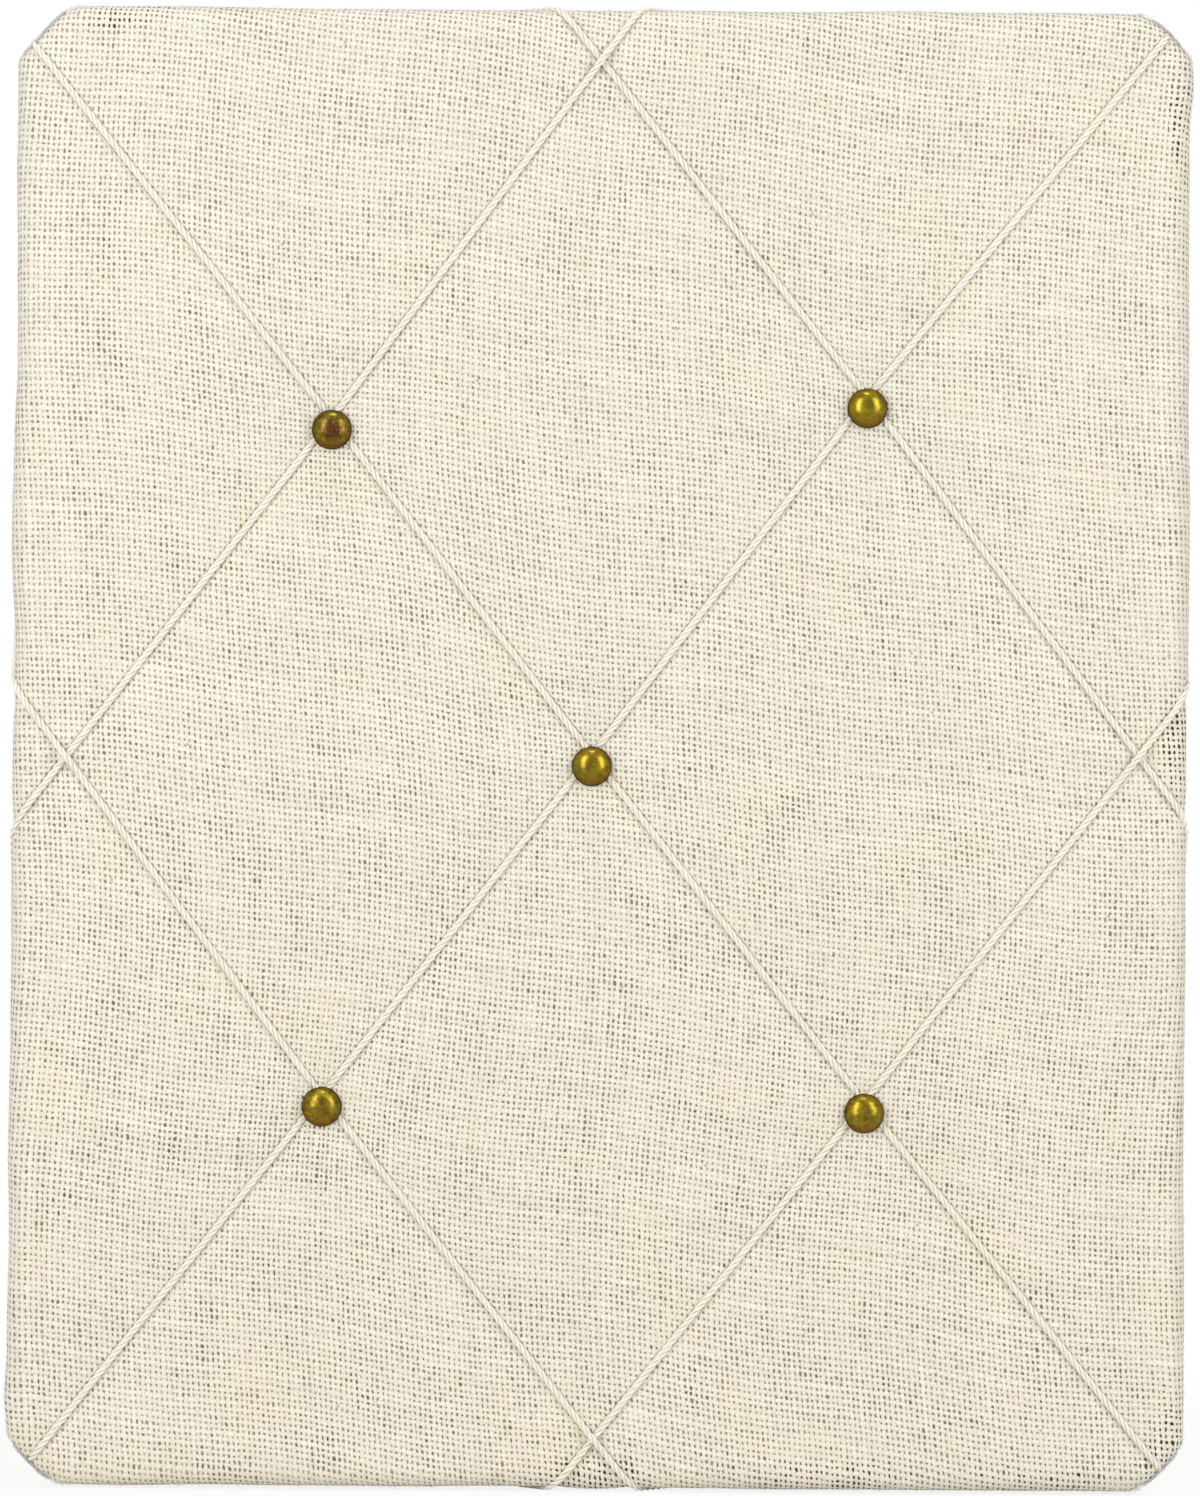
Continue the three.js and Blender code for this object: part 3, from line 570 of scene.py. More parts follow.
def kraft_card():
    """Brown greyboard: pulp fibres, paler flecks and a few scuffs."""
    paint = Paint("kraft_card", Roughness=0.9, Specular_IOR_Level=0.2)
    place = paint.place()
    cloud = paint.noise(place, 14.0, 3.0, 0.5)
    formation = paint.noise(place, 210.0, 3.0, 0.7)
    pulp = paint.noise(place, 1100.0, 3.0, 0.75)
    fibre = paint.streaks(place, (1300, 300, 150), detail=2.0)
    other = paint.streaks(place, (130, 300, 1200), (7, 0, 3), 2.0)
    lines = fibre.math("MAXIMUM", other)
    share = cloud * 0.12 + formation * 0.35 + pulp * 0.25 + lines * 0.3
    colour = paint.mix(paint.ramp(share, 0.38, 0.66), tone(152, 118, 78), tone(206, 174, 130))
    pale = paint.ramp(fibre, 0.68, 0.76)
    colour = paint.mix(pale * 0.6, colour, tone(232, 212, 178))
    dark = paint.ramp(other, 0.69, 0.77)
    colour = paint.mix(dark * 0.6, colour, tone(96, 70, 44))
    scuff = paint.ramp(paint.streaks(place, (30, 30, 110), detail=5.0, roughness=0.75), 0.6, 0.72)
    colour = paint.mix(scuff * 0.3, colour, tone(214, 186, 146))
    return paint.wear(Base_Color=colour, Normal=paint.bump(share, 0.12 * MM, 0.5))


def fibreboard():
    """Fibreboard: fine brown chips pressed flat."""
    paint = Paint("fibreboard", Roughness=0.8, Specular_IOR_Level=0.3)
    place = paint.place()
    chip = paint.noise(place, 1400.0, 3.0, 0.7)
    cloud = paint.noise(place, 60.0, 3.0)
    share = chip * 0.7 + cloud * 0.3
    colour = paint.mix(paint.ramp(share, 0.3, 0.7), tone(128, 94, 60), tone(178, 142, 100))
    return paint.wear(Base_Color=colour, Normal=paint.bump(chip, 0.08 * MM, 0.4))


def polyester_wadding():
    """White wadding: a matted web of fine fibres."""
    paint = Paint("polyester_wadding", Roughness=1.0, Specular_IOR_Level=0.1)
    place = paint.place()
    web = paint.noise(place, 520.0, 5.0, 0.75)
    clump = paint.noise(place, 90.0, 3.0)
    share = web * 0.6 + clump * 0.4
    colour = paint.mix(paint.ramp(share, 0.3, 0.7), tone(222, 220, 212), tone(252, 251, 247))
    return paint.wear(Base_Color=colour, Normal=paint.bump(share, 0.5 * MM, 0.6))


def pale_floor():
    """A pale studio floor, near white to the camera and still shaded by what stands on it."""
    paint = Paint("pale_floor", Roughness=0.9)
    grain = paint.noise(paint.place(), 60.0, 3.0)
    colour = paint.mix(paint.ramp(grain, 0.3, 0.7), tone(240, 239, 236), tone(247, 246, 244))
    paint.wear(Base_Color=colour)
    white = paint.node("Emission", {}, {"Color": (1, 1, 1, 1), "Strength": 1.0})
    share = paint.shown() * paint.ramp(paint.length(paint.place()), 0.2, FLOOR_RADIUS * 0.6, 0.85, 1.0)
    surface = Value(paint, paint.shader.outputs[0])
    blend = paint.node("MixShader", {}, {0: share, 1: surface, 2: white})
    output = paint.tree.nodes["Material Output"]
    paint.feed(output.inputs["Surface"], blend)
    return paint.material


finishes = SimpleNamespace(
    cloth=cotton_weave(),
    cord=cord_cotton(),
    lint=cotton_lint(),
    brass={name: aged_brass(name, *NAIL_WEAR[name]) for name in NAILS},
    staple=plated_steel("staple_zinc", tone(206, 208, 210), tone(150, 153, 157), 900.0),
    hanger=plated_steel("hanger_zinc", tone(214, 214, 210), tone(164, 164, 160), 420.0),
    card=kraft_card(),
    board=fibreboard(),
    wadding=polyester_wadding(),
)


# Meshes

def unit(vector):
    return vector / np.linalg.norm(vector)


def left_of(run):
    """The direction square to a run on the front, to its left."""
    return unit(np.array([-run[1], run[0]]))


def at_depth(places, depth):
    """Places on the board's layout at a depth, as X, Y and Z."""
    return np.stack(np.broadcast_arrays(places[:, 0], -np.asarray(depth, float), places[:, 1]), axis=-1)


def add_piece(name, mesh, material, body="board"):
    mesh.materials.append(material)
    piece = bpy.data.objects.new(name, mesh)
    bpy.context.scene.collection.objects.link(piece)
    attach(piece, body)
    return piece


def make_piece(name, points, faces, material, body="board", layouts=None):
    """A smooth piece from points and faces, with named layouts that hold two numbers per face corner."""
    mesh = bpy.data.meshes.new(name)
    mesh.from_pydata([tuple(point) for point in points], [], [tuple(face) for face in faces])
    for layout, corners in (layouts or {}).items():
        layer = mesh.uv_layers.new(name=layout)
        layer.data.foreach_set("uv", np.asarray(corners, np.float32).ravel())
    mesh.polygons.foreach_set("use_smooth", [True] * len(mesh.polygons))
    mesh.update()
    return add_piece(name, mesh, material, body)


def lengths_along(path):
    steps = np.linalg.norm(np.diff(path, axis=0), axis=1)
    return np.concatenate([[0.0], np.cumsum(steps)])


def respaced(path, step):
    lengths = lengths_along(path)
    count = max(2, round(lengths[-1] / step))
    stops = np.linspace(0, lengths[-1], count + 1)
    return np.stack([np.interp(stops, lengths, path[:, axis]) for axis in range(3)], axis=1)


def smoothed(path, rounds):
    for _ in range(rounds):
        path[1:-1] = path[1:-1] / 2 + (path[:-2] + path[2:]) / 4
    return path


def path_frames(path, first_side):
    """Side and upright at each point of a path, carried along without twist."""
    tangents = np.gradient(path, axis=0)
    tangents /= np.linalg.norm(tangents, axis=1)[:, None]
    side = np.array(first_side, float)
    sides = []
    for tangent in tangents:
        side = unit(side - tangent * side.dot(tangent))
        sides.append(side)
    sides = np.array(sides)
    return sides, np.cross(tangents, sides)


def swept(path, sides, uprights, section):
    """Points and faces of a section carried along a path with closed ends, and yarn places per corner."""
    count = len(section)
    rings = path[:, None] + sides[:, None] * section[None, :, :1] + uprights[:, None] * section[None, :, 1:]
    lays = lengths_along(path) / CORD_LAY
    faces, corners = [], []
    for ring in range(len(path) - 1):
        low, high = ring * count, (ring + 1) * count
        start, end = lays[ring], lays[ring + 1]
        for i in range(count):
            j = (i + 1) % count
            faces.append((low + i, low + j, high + j, high + i))
            near, far = i / count, (i + 1) / count
            corners += [(start, near), (start, far), (end, far), (end, near)]
    last = (len(path) - 1) * count
    faces += [tuple(reversed(range(count))), tuple(range(last, last + count))]
    corners += [(0.0, 0.0)] * (2 * count)
    return rings.reshape(-1, 3), faces, corners


def joined(parts):
    """Several sets of points, faces and corners as one."""
    points, faces, corners = [], [], []
    start = 0
    for part_points, part_faces, part_corners in parts:
        points.append(part_points)
        faces += [tuple(start + i for i in face) for face in part_faces]
        corners += part_corners
        start += len(part_points)
    return np.concatenate(points), faces, corners


def circle(radius, sides):
    angles = np.linspace(0, 2 * math.pi, sides, endpoint=False)
    return np.stack([radius * np.cos(angles), radius * np.sin(angles)], axis=1)


def turned(profile, sides, centre):
    """Points and faces of a turned piece whose profile holds (radius, depth) pairs from pole to pole."""
    points, rings = [], []
    for radius, depth in profile:
        spokes = circle(radius, sides) if radius > 0 else np.zeros((1, 2))
        rings.append(range(len(points), len(points) + len(spokes)))
        points += [(centre[0] + x, -depth, centre[1] + z) for x, z in spokes]
    faces = []
    for lower, upper in zip(rings, rings[1:]):
        for i in range(sides):
            j = (i + 1) % sides
            near = [lower[i % len(lower)], lower[j % len(lower)]]
            far = [upper[j % len(upper)], upper[i % len(upper)]]
            faces.append(tuple(dict.fromkeys(near + far)))
    return np.array(points), faces


def arc(centre, radius, start, end, steps):
    angles = np.linspace(start, end, steps)
    return np.stack([centre[0] + radius * np.cos(angles), centre[1] + radius * np.sin(angles)], axis=1)


# The outline and the lattice of cords

def outline(inset):
    """The chopped and rounded outline moved in from the edge; a number is always at the same place."""
    x, z = HALF_WIDTH - inset, HALF_HEIGHT - inset
    corners = []
    for (right, up), leg in CORNER_CHOPS.items():
        chop = leg - inset * (2 - math.sqrt(2))
        on_side, on_end = (right * x, up * (z - chop)), (right * (x - chop), up * z)
        corners += [on_side, on_end] if right == up else [on_end, on_side]
    corners = np.array(corners)
    runs = np.roll(corners, -1, axis=0) - corners
    lengths = np.linalg.norm(runs, axis=1)
    reaches = np.minimum(CORNER_ROUND, np.minimum(lengths, np.roll(lengths, 1)) / 3)
    shares = np.linspace(0, 1, OUTLINE_STEPS, endpoint=False)[:, None]
    bend = shares[::OUTLINE_STEPS // CORNER_STEPS]
    path = []
    for i, corner in enumerate(corners):
        before, after = unit(runs[i - 1]), unit(runs[i])
        start, end = corner - before * reaches[i], corner + after * reaches[i]
        path.append(start * (1 - bend) ** 2 + corner * 2 * bend * (1 - bend) + end * bend ** 2)
        next_start = corner + after * (lengths[i] - reaches[(i + 1) % len(corners)])
        straight = end + (next_start - end) * shares
        if i % 2 == 0:
            bulge = CHOP_BULGES[tuple(np.sign(corner))] * 4 * shares * (1 - shares)
            straight = straight + np.sign(corner) * bulge / math.sqrt(2)
        path.append(straight)
    return np.concatenate(path)


def edge_exit(right, up):
    outward = np.array([0.0, up]) if abs(up) == 1 else np.array([right, 0.0])
    return SimpleNamespace(place=np.array([right * HALF_WIDTH, up * HALF_HEIGHT]), outward=outward)


def corner_exit(right, up, slide=0.0):
    half = CORNER_CHOPS[right, up] / 2
    place = np.array([right * (HALF_WIDTH - half * (1 - slide)), up * (HALF_HEIGHT - half * (1 + slide))])
    return SimpleNamespace(place=place, outward=np.array([right, up]) / math.sqrt(2))


def make_cord(name, start, nails, end):
    """A cord's line from edge to edge, passing on the upper side of each nail."""
    rough = np.array([start.place, *(nail_places[nail] for nail in nails), end.place])
    knots = rough.copy()
    for i in range(1, len(rough) - 1):
        upper = left_of(rough[i + 1] - rough[i - 1])
        knots[i] += upper * math.copysign(CORD_PASS, upper[1])
    stops = lengths_along(knots)
    return SimpleNamespace(name=name, start=start, end=end, knots=knots, stops=stops, lifts=[])


# In the order that they are laid: each cord lies over the earlier ones that it crosses.
# An end on an edge is given in shares of the half sides.
cords = [
    make_cord("cord_top_right_to_bottom_left", corner_exit(1, 1),
              ["top_right", "centre", "bottom_left"], corner_exit(-1, -1)),
    make_cord("cord_top_left_to_bottom_right", corner_exit(-1, 1, TOP_LEFT_CORNER_SLIDE),
              ["top_left", "centre", "bottom_right"], corner_exit(1, -1)),
    make_cord("cord_top_to_right", edge_exit(-0.076, 1), ["top_right"], edge_exit(1, -0.092)),
    make_cord("cord_top_to_left", edge_exit(0.061, 1), ["top_left"], edge_exit(-1, -0.111)),
    make_cord("cord_right_to_bottom", edge_exit(1, 0.076), ["bottom_right"], edge_exit(-0.067, -1)),
    make_cord("cord_left_to_bottom", edge_exit(-1, 0.077), ["bottom_left"], edge_exit(0.062, -1)),
]


def cross(a, b):
    return a[0] * b[1] - a[1] * b[0]


def find_crossings(cord, other):
    """How far along the cord it crosses the other one."""
    found = []
    for i, (start, end) in enumerate(zip(cord.knots, cord.knots[1:])):
        for there, beyond in zip(other.knots, other.knots[1:]):
            turn = cross(end - start, beyond - there)
            here = cross(there - start, beyond - there) / turn
            share = cross(there - start, end - start) / turn
            if 0 < here < 1 and 0 < share < 1:
                found.append(cord.stops[i] + here * (cord.stops[i + 1] - cord.stops[i]))
    return found


for number, cord in enumerate(cords):
    for earlier in cords[:number]:
        cord.lifts += find_crossings(cord, earlier)


def eased(share):
    share = np.clip(share, 0, 1)
    return share * share * (3 - 2 * share)


def channel_share(cord, along):
    """How much of the narrow channel beside a nail there is along a cord."""
    share = np.zeros_like(along)
    for stop in cord.stops[1:-1]:
        away = (np.abs(along - stop) - NAIL_RADIUS) / (CHANNEL_END - NAIL_RADIUS)
        share = np.maximum(share, 1 - eased(away))
    return share


def lift_over(cord, along):
    """How far a cord rises where it crosses the cords under it, more steeply where a nail hides it."""
    lift = np.zeros_like(along)
    for crossing in cord.lifts:
        under_nail = np.abs(cord.stops[1:-1] - crossing).min() < NAIL_RADIUS
        reach = CROSSING_REACH_UNDER_NAIL if under_nail else CROSSING_REACH
        lift = np.maximum(lift, 1 - eased(np.abs(along - crossing) / reach))
    return lift * CROSSING_LIFT


def nearest_on_leg(start, run, places):
    """The share of a cord's straight leg that lies nearest to each place, and the distance to it."""
    share = np.clip((places - start) @ run / (run @ run), 0, 1)
    return share, np.linalg.norm(places - start - share[:, None] * run, axis=1)


def nearest_on(cord, places):
    """Distance from a cord's line to places on the front, and how far along the cord each is nearest."""
    best = np.full(len(places), np.inf)
    along = np.zeros(len(places))
    for start, run, stop in zip(cord.knots, np.diff(cord.knots, axis=0), cord.stops):
        share, away = nearest_on_leg(start, run, places)
        closer = away < best
        best[closer] = away[closer]
        along[closer] = stop + share[closer] * np.linalg.norm(run)
    return best, along


def softened(distance):
    return np.sqrt(distance ** 2 + DIP_SOFTNESS ** 2) - DIP_SOFTNESS


def wander(places, span, seed):
    """Smooth noise from -1 to 1 at places on the front."""
    return np.array([noise.noise((x / span, z / span, seed)) for x, z in places])


def front_depth(places):
    """Depth of the padded front: pillows between cords, valleys under them and a dimple at each nail."""
    total = np.zeros(len(places))
    channel = np.zeros(len(places))
    for cord in cords:
        away, along = nearest_on(cord, places)
        total += (VALLEY_DIP * np.exp(-softened(away) / VALLEY_REACH)) ** DIP_BLEND
        narrow = CHANNEL_DIP * channel_share(cord, along) * np.exp(-softened(away) / CHANNEL_REACH)
        channel = np.maximum(channel, narrow)
    for place in nail_places.values():
        away = np.maximum(np.linalg.norm(places - place, axis=1) - NAIL_RADIUS, 0)
        total += (NAIL_DIP * np.exp(-softened(away) / NAIL_REACH)) ** DIP_BLEND
    dip = total ** (1 / DIP_BLEND) + channel
    return CLOTH_FRONT - dip - PUFF * (1 - wander(places, PUFF_SPAN, PUFF_SEED)) / 2


exits = np.array([end.place for cord in cords for end in (cord.start, cord.end)])


def edge_give(places):
    """How far the hand-pulled cloth stands out from the true edge; each cord draws it in."""
    wave = wander(places, EDGE_WAVE_SPAN, EDGE_WAVE_SEED) * EDGE_WAVE
    away = np.linalg.norm(places[:, None] - exits[None], axis=2).min(axis=1)
    stand = EDGE_STAND - EDGE_TILT * places[:, 1] / HALF_HEIGHT
    for across, up, reach, span in EDGE_STANDS:
        gap = np.hypot(places[:, 0] - across * HALF_WIDTH, places[:, 1] - up * HALF_HEIGHT)
        stand = stand + reach * np.exp(-(gap / span) ** 2)
    return np.maximum(stand + wave - EDGE_DENT * np.exp(-(away / EDGE_DENT_SPAN) ** 2), EDGE_LEAST)


# Cloth cover

def edge_profile(front):
    """Stations over the edge, down the side and along the back, as (out from the edge, depth) pairs."""
    rise = front - EDGE_DEPTH
    heel = CLOTH_BACK + HEEL_ROUND
    stations = []
    for angle in np.radians(EDGE_ANGLES):
        stations.append((EDGE_ROUND * (math.sin(angle) - 1), EDGE_DEPTH + rise * math.cos(angle)))
    for share in SIDE_STOPS:
        stations.append((0.0, EDGE_DEPTH + (heel - EDGE_DEPTH) * share))
    for angle in np.radians(HEEL_ANGLES):
        stations.append((HEEL_ROUND * (math.cos(angle) - 1), heel - HEEL_ROUND * math.sin(angle)))
    for out in RETURN_STOPS:
        stations.append((-out, CLOTH_BACK))
    return [(out, np.broadcast_to(depth, front.shape)) for out, depth in stations]


def front_grid(border, step):
    """Rows of places that fill the border of the flat front, each row as wide as it is at that height."""
    half_height = HALF_HEIGHT - EDGE_ROUND
    columns = round(2 * (HALF_WIDTH - EDGE_ROUND) / step)
    rows = round(2 * half_height / step)
    heights = np.linspace(-half_height, half_height, rows + 1)
    ends = []
    for way in (-1, 1):
        flank = border[border[:, 0] * way > 0]
        flank = flank[np.argsort(flank[:, 1])]
        reach = np.interp(heights, flank[:, 1], flank[:, 0])
        for row in (0, -1):
            level = flank[np.abs(flank[:, 1] - heights[row]) < TOUCHING]
            reach[row] = way * np.abs(level[:, 0]).max()
        ends.append(reach[:, None])
    left, right = ends
    across = left + (right - left) * np.linspace(0, 1, columns + 1)
    return np.stack(np.broadcast_arrays(across, heights[:, None]), axis=-1)


def front_mesh(step):
    """A grid over the flat of the front: places, faces, its rim, and the rim's numbers on the outline."""
    border = outline(EDGE_ROUND)
    grid = front_grid(border, step)
    rows, across = grid.shape[0] - 1, grid.shape[1]
    columns = across - 1
    places = grid.reshape(-1, 2)
    firsts = [i * across + j for i in range(rows) for j in range(columns)]
    faces = [(first, first + 1, first + across + 1, first + across) for first in firsts]
    loop = list(range(columns)) + [i * across + columns for i in range(rows)]
    loop += [rows * across + j for j in range(columns, 0, -1)] + [i * across for i in range(rows, 0, -1)]
    numbers = np.array([np.argmin(((border - place) ** 2).sum(axis=1)) for place in places[loop]])
    return SimpleNamespace(places=places, faces=faces, loop=loop, numbers=numbers)


def skirted(front, count):
    """Faces of the front and of rings of points that follow it, and the last ring."""
    around = len(front.loop)
    faces = list(front.faces)
    inner = front.loop
    for k in range(count):
        start = len(front.places) + k * around
        outer = range(start, start + around)
        for i in range(around):
            j = (i + 1) % around
            faces.append((inner[i], outer[i], outer[j], inner[j]))
        inner = outer
    return faces, inner


def thread_places(places):
    """Where places fall on the weave, in threads: it hangs askew, wanders and is drawn to each nail."""
    x, z = places[:, 0], places[:, 1]
    wave = np.sin(2 * math.pi * x / WEFT_WAVE_SPAN - math.pi * z / (2 * HALF_WIDTH))
    drop = WEFT_SLOPE * x - WEFT_EASE * x ** 3 - WEFT_WAVE * wave
    sway = WARP_LEAN * z
    for height, span, crest in WARP_WAVES:
        sway = sway + height * np.sin(2 * math.pi * (z - crest) / span)
    drift = [wander(places, WEAVE_DRIFT_SPAN, seed) * WEAVE_DRIFT for seed in WEAVE_DRIFT_SEEDS]
    moved = places + np.stack([sway, drop], axis=1) + np.stack(drift, axis=1)
    for place in nail_places.values():
        apart = places - place
        away = np.linalg.norm(apart, axis=1)[:, None]
        pull = NAIL_PULL * (away / NAIL_PULL_REACH) * np.exp(1 - away / NAIL_PULL_REACH)
        moved = moved + apart / np.maximum(away, MM) * pull
    return moved / (WARP_PITCH, WEFT_PITCH)


def edge_distance(places):
    """How far inside the outline places are."""
    x, z = places[:, 0], places[:, 1]
    inside = np.minimum(HALF_WIDTH - np.abs(x), HALF_HEIGHT - np.abs(z))
    for (right, up), leg in CORNER_CHOPS.items():
        to_chop = (HALF_WIDTH + HALF_HEIGHT - leg - right * x - up * z) / math.sqrt(2)
        inside = np.minimum(inside, to_chop)
    return inside


def bridge_share(places):
    """How far the cloth is off the wadding: only near the edge, and only in some places."""
    share = np.zeros(len(places))
    for across, up, reach, strength in BRIDGES:
        away = np.linalg.norm(places - (across * HALF_WIDTH, up * HALF_HEIGHT), axis=1)
        share = np.maximum(share, strength * np.exp(-(away / reach) ** 2))
    near_edge = (BRIDGE_END - edge_distance(places)) / (BRIDGE_END - BRIDGE_START)
    return share * np.clip(near_edge, 0, 1)


def beside_cords(middles, corners):
    """Distance, in cord radii, from each face's corners to the line of the cord nearest to its middle."""
    nearest = np.full(len(middles), np.inf)
    beside = np.zeros(corners.shape[:2])
    for cord in cords:
        for start, run in zip(cord.knots, np.diff(cord.knots, axis=0)):
            _, away = nearest_on_leg(start, run, middles)
            closer = away < nearest
            nearest[closer] = away[closer]
            beside[closer] = (corners[closer] - start) @ left_of(run)
    return beside / CORD_RADIUS


def bake_layout(points, faces, seen, around):
    """A baked picture's layout: the faces that are seen from the front, over two lanes for the rest."""
    low = 1 - FRONT_BAKE_SHARE
    across = points[:, 0] / (2 * HALF_WIDTH) + 0.5
    up = (points[:, 2] / (2 * HALF_HEIGHT) + 0.5) * FRONT_BAKE_SHARE + low
    bake = [(across[vertex], up[vertex]) for face in faces[:seen] for vertex in face]
    half = around // 2
    hidden = len(faces) - seen
    step = (low / 2 - 2 * BAKE_MARGIN) / (hidden // around)
    for number in range(hidden):
        band, i = divmod(number, around)
        lane, spot = divmod(i, half)
        near = low / 2 * (lane + 1) - BAKE_MARGIN - band * step
        left, right = spot / half, (spot + 1) / half
        bake += [(left, near), (left, near - step), (right, near - step), (right, near)]
    return bake


def build_cover():
    """The cotton: over the front, round the edge, down the sides and back behind."""
    front = front_mesh(GRID_STEP)
    depth = front_depth(front.places)
    rim, rim_depth = front.places[front.loop], depth[front.loop]
    edge = outline(0)[front.numbers]
    outward = edge - rim
    outward /= np.linalg.norm(outward, axis=1)[:, None]
    give = edge_give(edge)
    lean = np.abs(np.abs(outward[:, 0]) - np.abs(outward[:, 1]))
    chopped = np.clip(1 - lean / PLEAT_SPREAD, 0, 1)
    pleats = PLEAT_DEPTH * chopped * np.sin(front.numbers * PLEAT_TURN)

    points = [at_depth(front.places, depth)]
    unrolled = [front.places]
    bridges = [bridge_share(front.places)]
    travel = np.zeros(len(rim))
    last_out, last_depth = -EDGE_ROUND, rim_depth
    profile = edge_profile(rim_depth)
    for out, station_depth in profile:
        travel += np.hypot(out - last_out, station_depth - last_depth)
        last_out, last_depth = out, station_depth
        fade = max(0.0, 1 + out / EDGE_ROUND)
        on_side = np.clip((CLOTH_FRONT - station_depth) / EDGE_ROUND - PLEAT_START, 0, 1) * fade
        ring = outline(-out)[front.numbers] + outward * (give * fade + pleats * on_side)[:, None]
        points.append(at_depth(ring, station_depth))
        unrolled.append(rim + outward * travel[:, None])
        bridges.append(bridge_share(edge))
    points = np.concatenate(points)
    unrolled = np.concatenate(unrolled)

    faces, _ = skirted(front, len(profile))
    corners = np.array(faces)
    beside = beside_cords(unrolled[corners].mean(axis=1), unrolled[corners])
    seen = len(front.faces) + len(EDGE_ANGLES) * len(rim)
    layouts = {
        "Threads": thread_places(unrolled)[corners],
        "Cords": np.stack([beside, np.zeros_like(beside)], axis=-1),
        "OFBake": bake_layout(points, faces, seen, len(rim)),
    }
    cover = make_piece("cotton_cover", points, faces, finishes.cloth, layouts=layouts)
    bridge = cover.data.attributes.new("bridge", "FLOAT", "POINT")
    bridge.data.foreach_set("value", np.concatenate(bridges))
    body = cover.modifiers.new("cloth_body", "SOLIDIFY")
    body.thickness = CLOTH_THICKNESS
    body.offset = -1
    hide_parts("cloth_cover")


# Wadding

def build_wadding():
    """The wadding under the cloth, rounded off at the edge and flat on the core."""
    front = front_mesh(WADDING_STEP)
    depth = front_depth(front.places) - WADDING_CLEARANCE
    floor = -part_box("batting_pad")[1].y
    round_off = EDGE_ROUND - WADDING_INSET
    points = [at_depth(front.places, depth)]
    for angle in np.radians(WADDING_ANGLES):
        ring = outline(WADDING_INSET + round_off * (1 - math.sin(angle)))[front.numbers]
        points.append(at_depth(ring, floor + (depth[front.loop] - floor) * math.cos(angle)))
    faces, last = skirted(front, len(WADDING_ANGLES))
    faces.append(tuple(reversed(last)))
    pad = make_piece("wadding_pad", np.concatenate(points), faces, finishes.wadding)
    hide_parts("batting_pad")


# Cords

def edge_route(end, inside):
    """A cord's middle over the edge, down the side and under the card, drifting on along its own line."""
    direction = end.place - inside
    sideways = left_of(end.outward)
    slope = direction @ sideways / (direction @ end.outward)
    lift = CORD_RADIUS - CORD_SINK
    edge_lift = CORD_RADIUS - CORD_SINK_AT_EDGE
    give = edge_give(end.place[None])[0]
    rise = front_depth((end.place - end.outward * EDGE_ROUND)[None])[0] - EDGE_DEPTH
    stations = []
    for angle in np.linspace(0, math.pi / 2, CORD_ROUND_STEPS):
        out, depth = EDGE_ROUND * (math.sin(angle) - 1), EDGE_DEPTH + rise * math.cos(angle)
        normal = unit(np.array([rise * math.sin(angle), EDGE_ROUND * math.cos(angle)]))
        normal *= lift + (edge_lift - lift) * math.sin(angle)
        stations.append((out + normal[0], depth + normal[1]))
    heel = CLOTH_BACK + HEEL_ROUND
    for angle in np.linspace(0, math.pi / 2, CORD_HEEL_STEPS):
        reach = HEEL_ROUND + edge_lift + (lift - edge_lift) * math.sin(angle)
        stations.append((reach * math.cos(angle) - HEEL_ROUND, heel - reach * math.sin(angle)))
    stations.append((-CORD_TAIL, CLOTH_BACK - lift))
    stations = np.array(stations)
    stations[:, 0] += give * np.clip(1 + stations[:, 0] / EDGE_ROUND, 0, 1)
    travel = lengths_along(stations) - EDGE_ROUND
    places = end.place + np.outer(stations[:, 0], end.outward) + np.outer(slope * travel, sideways)
    return at_depth(places, stations[:, 1])


def cord_route(cord):
    """A cord's middle from tail to tail: pressed into the cloth, and over the cords laid before it."""
    start = edge_route(cord.start, cord.knots[1])[::-1]
    end = edge_route(cord.end, cord.knots[-2])
    lead = np.linalg.norm(start[-1, [0, 2]] - cord.knots[0])
    trail = np.linalg.norm(end[0, [0, 2]] - cord.knots[-1])
    along = np.arange(lead + CORD_STEP, cord.stops[-1] - trail - CORD_STEP / 2, CORD_STEP)
    places = np.stack([np.interp(along, cord.stops, cord.knots[:, axis]) for axis in (0, 1)], axis=1)
    sink = CORD_SINK + CORD_SQUASH * channel_share(cord, along)
    depth = front_depth(places) + lift_over(cord, along) + CORD_RADIUS - sink
    path = np.concatenate([start, at_depth(places, depth), end])
    return smoothed(respaced(path, CORD_STEP), CORD_SMOOTHING)


def build_cord(cord):
    path = cord_route(cord)
    first_side = (0, 0, 1) if cord.start.outward[1] == 0 else (1, 0, 0)
    sides, uprights = path_frames(path, first_side)
    turns = 2 * math.pi * lengths_along(path) / CORD_LAY
    strands = []
    for strand in range(STRANDS):
        angle = (turns + 2 * math.pi * strand / STRANDS)[:, None]
        outward = sides * np.cos(angle) + uprights * np.sin(angle)
        onward = uprights * np.cos(angle) - sides * np.sin(angle)
        middle = path + outward * STRAND_OFFSET
        strands.append(swept(middle, outward, onward, circle(STRAND_RADIUS, STRAND_SIDES)))
    points, faces, corners = joined(strands)
    layouts = {"Yarn": corners}
    piece = make_piece(f"twisted_{cord.name}", points, faces, finishes.cord, layouts=layouts)
    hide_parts(cord.name)


# Nails

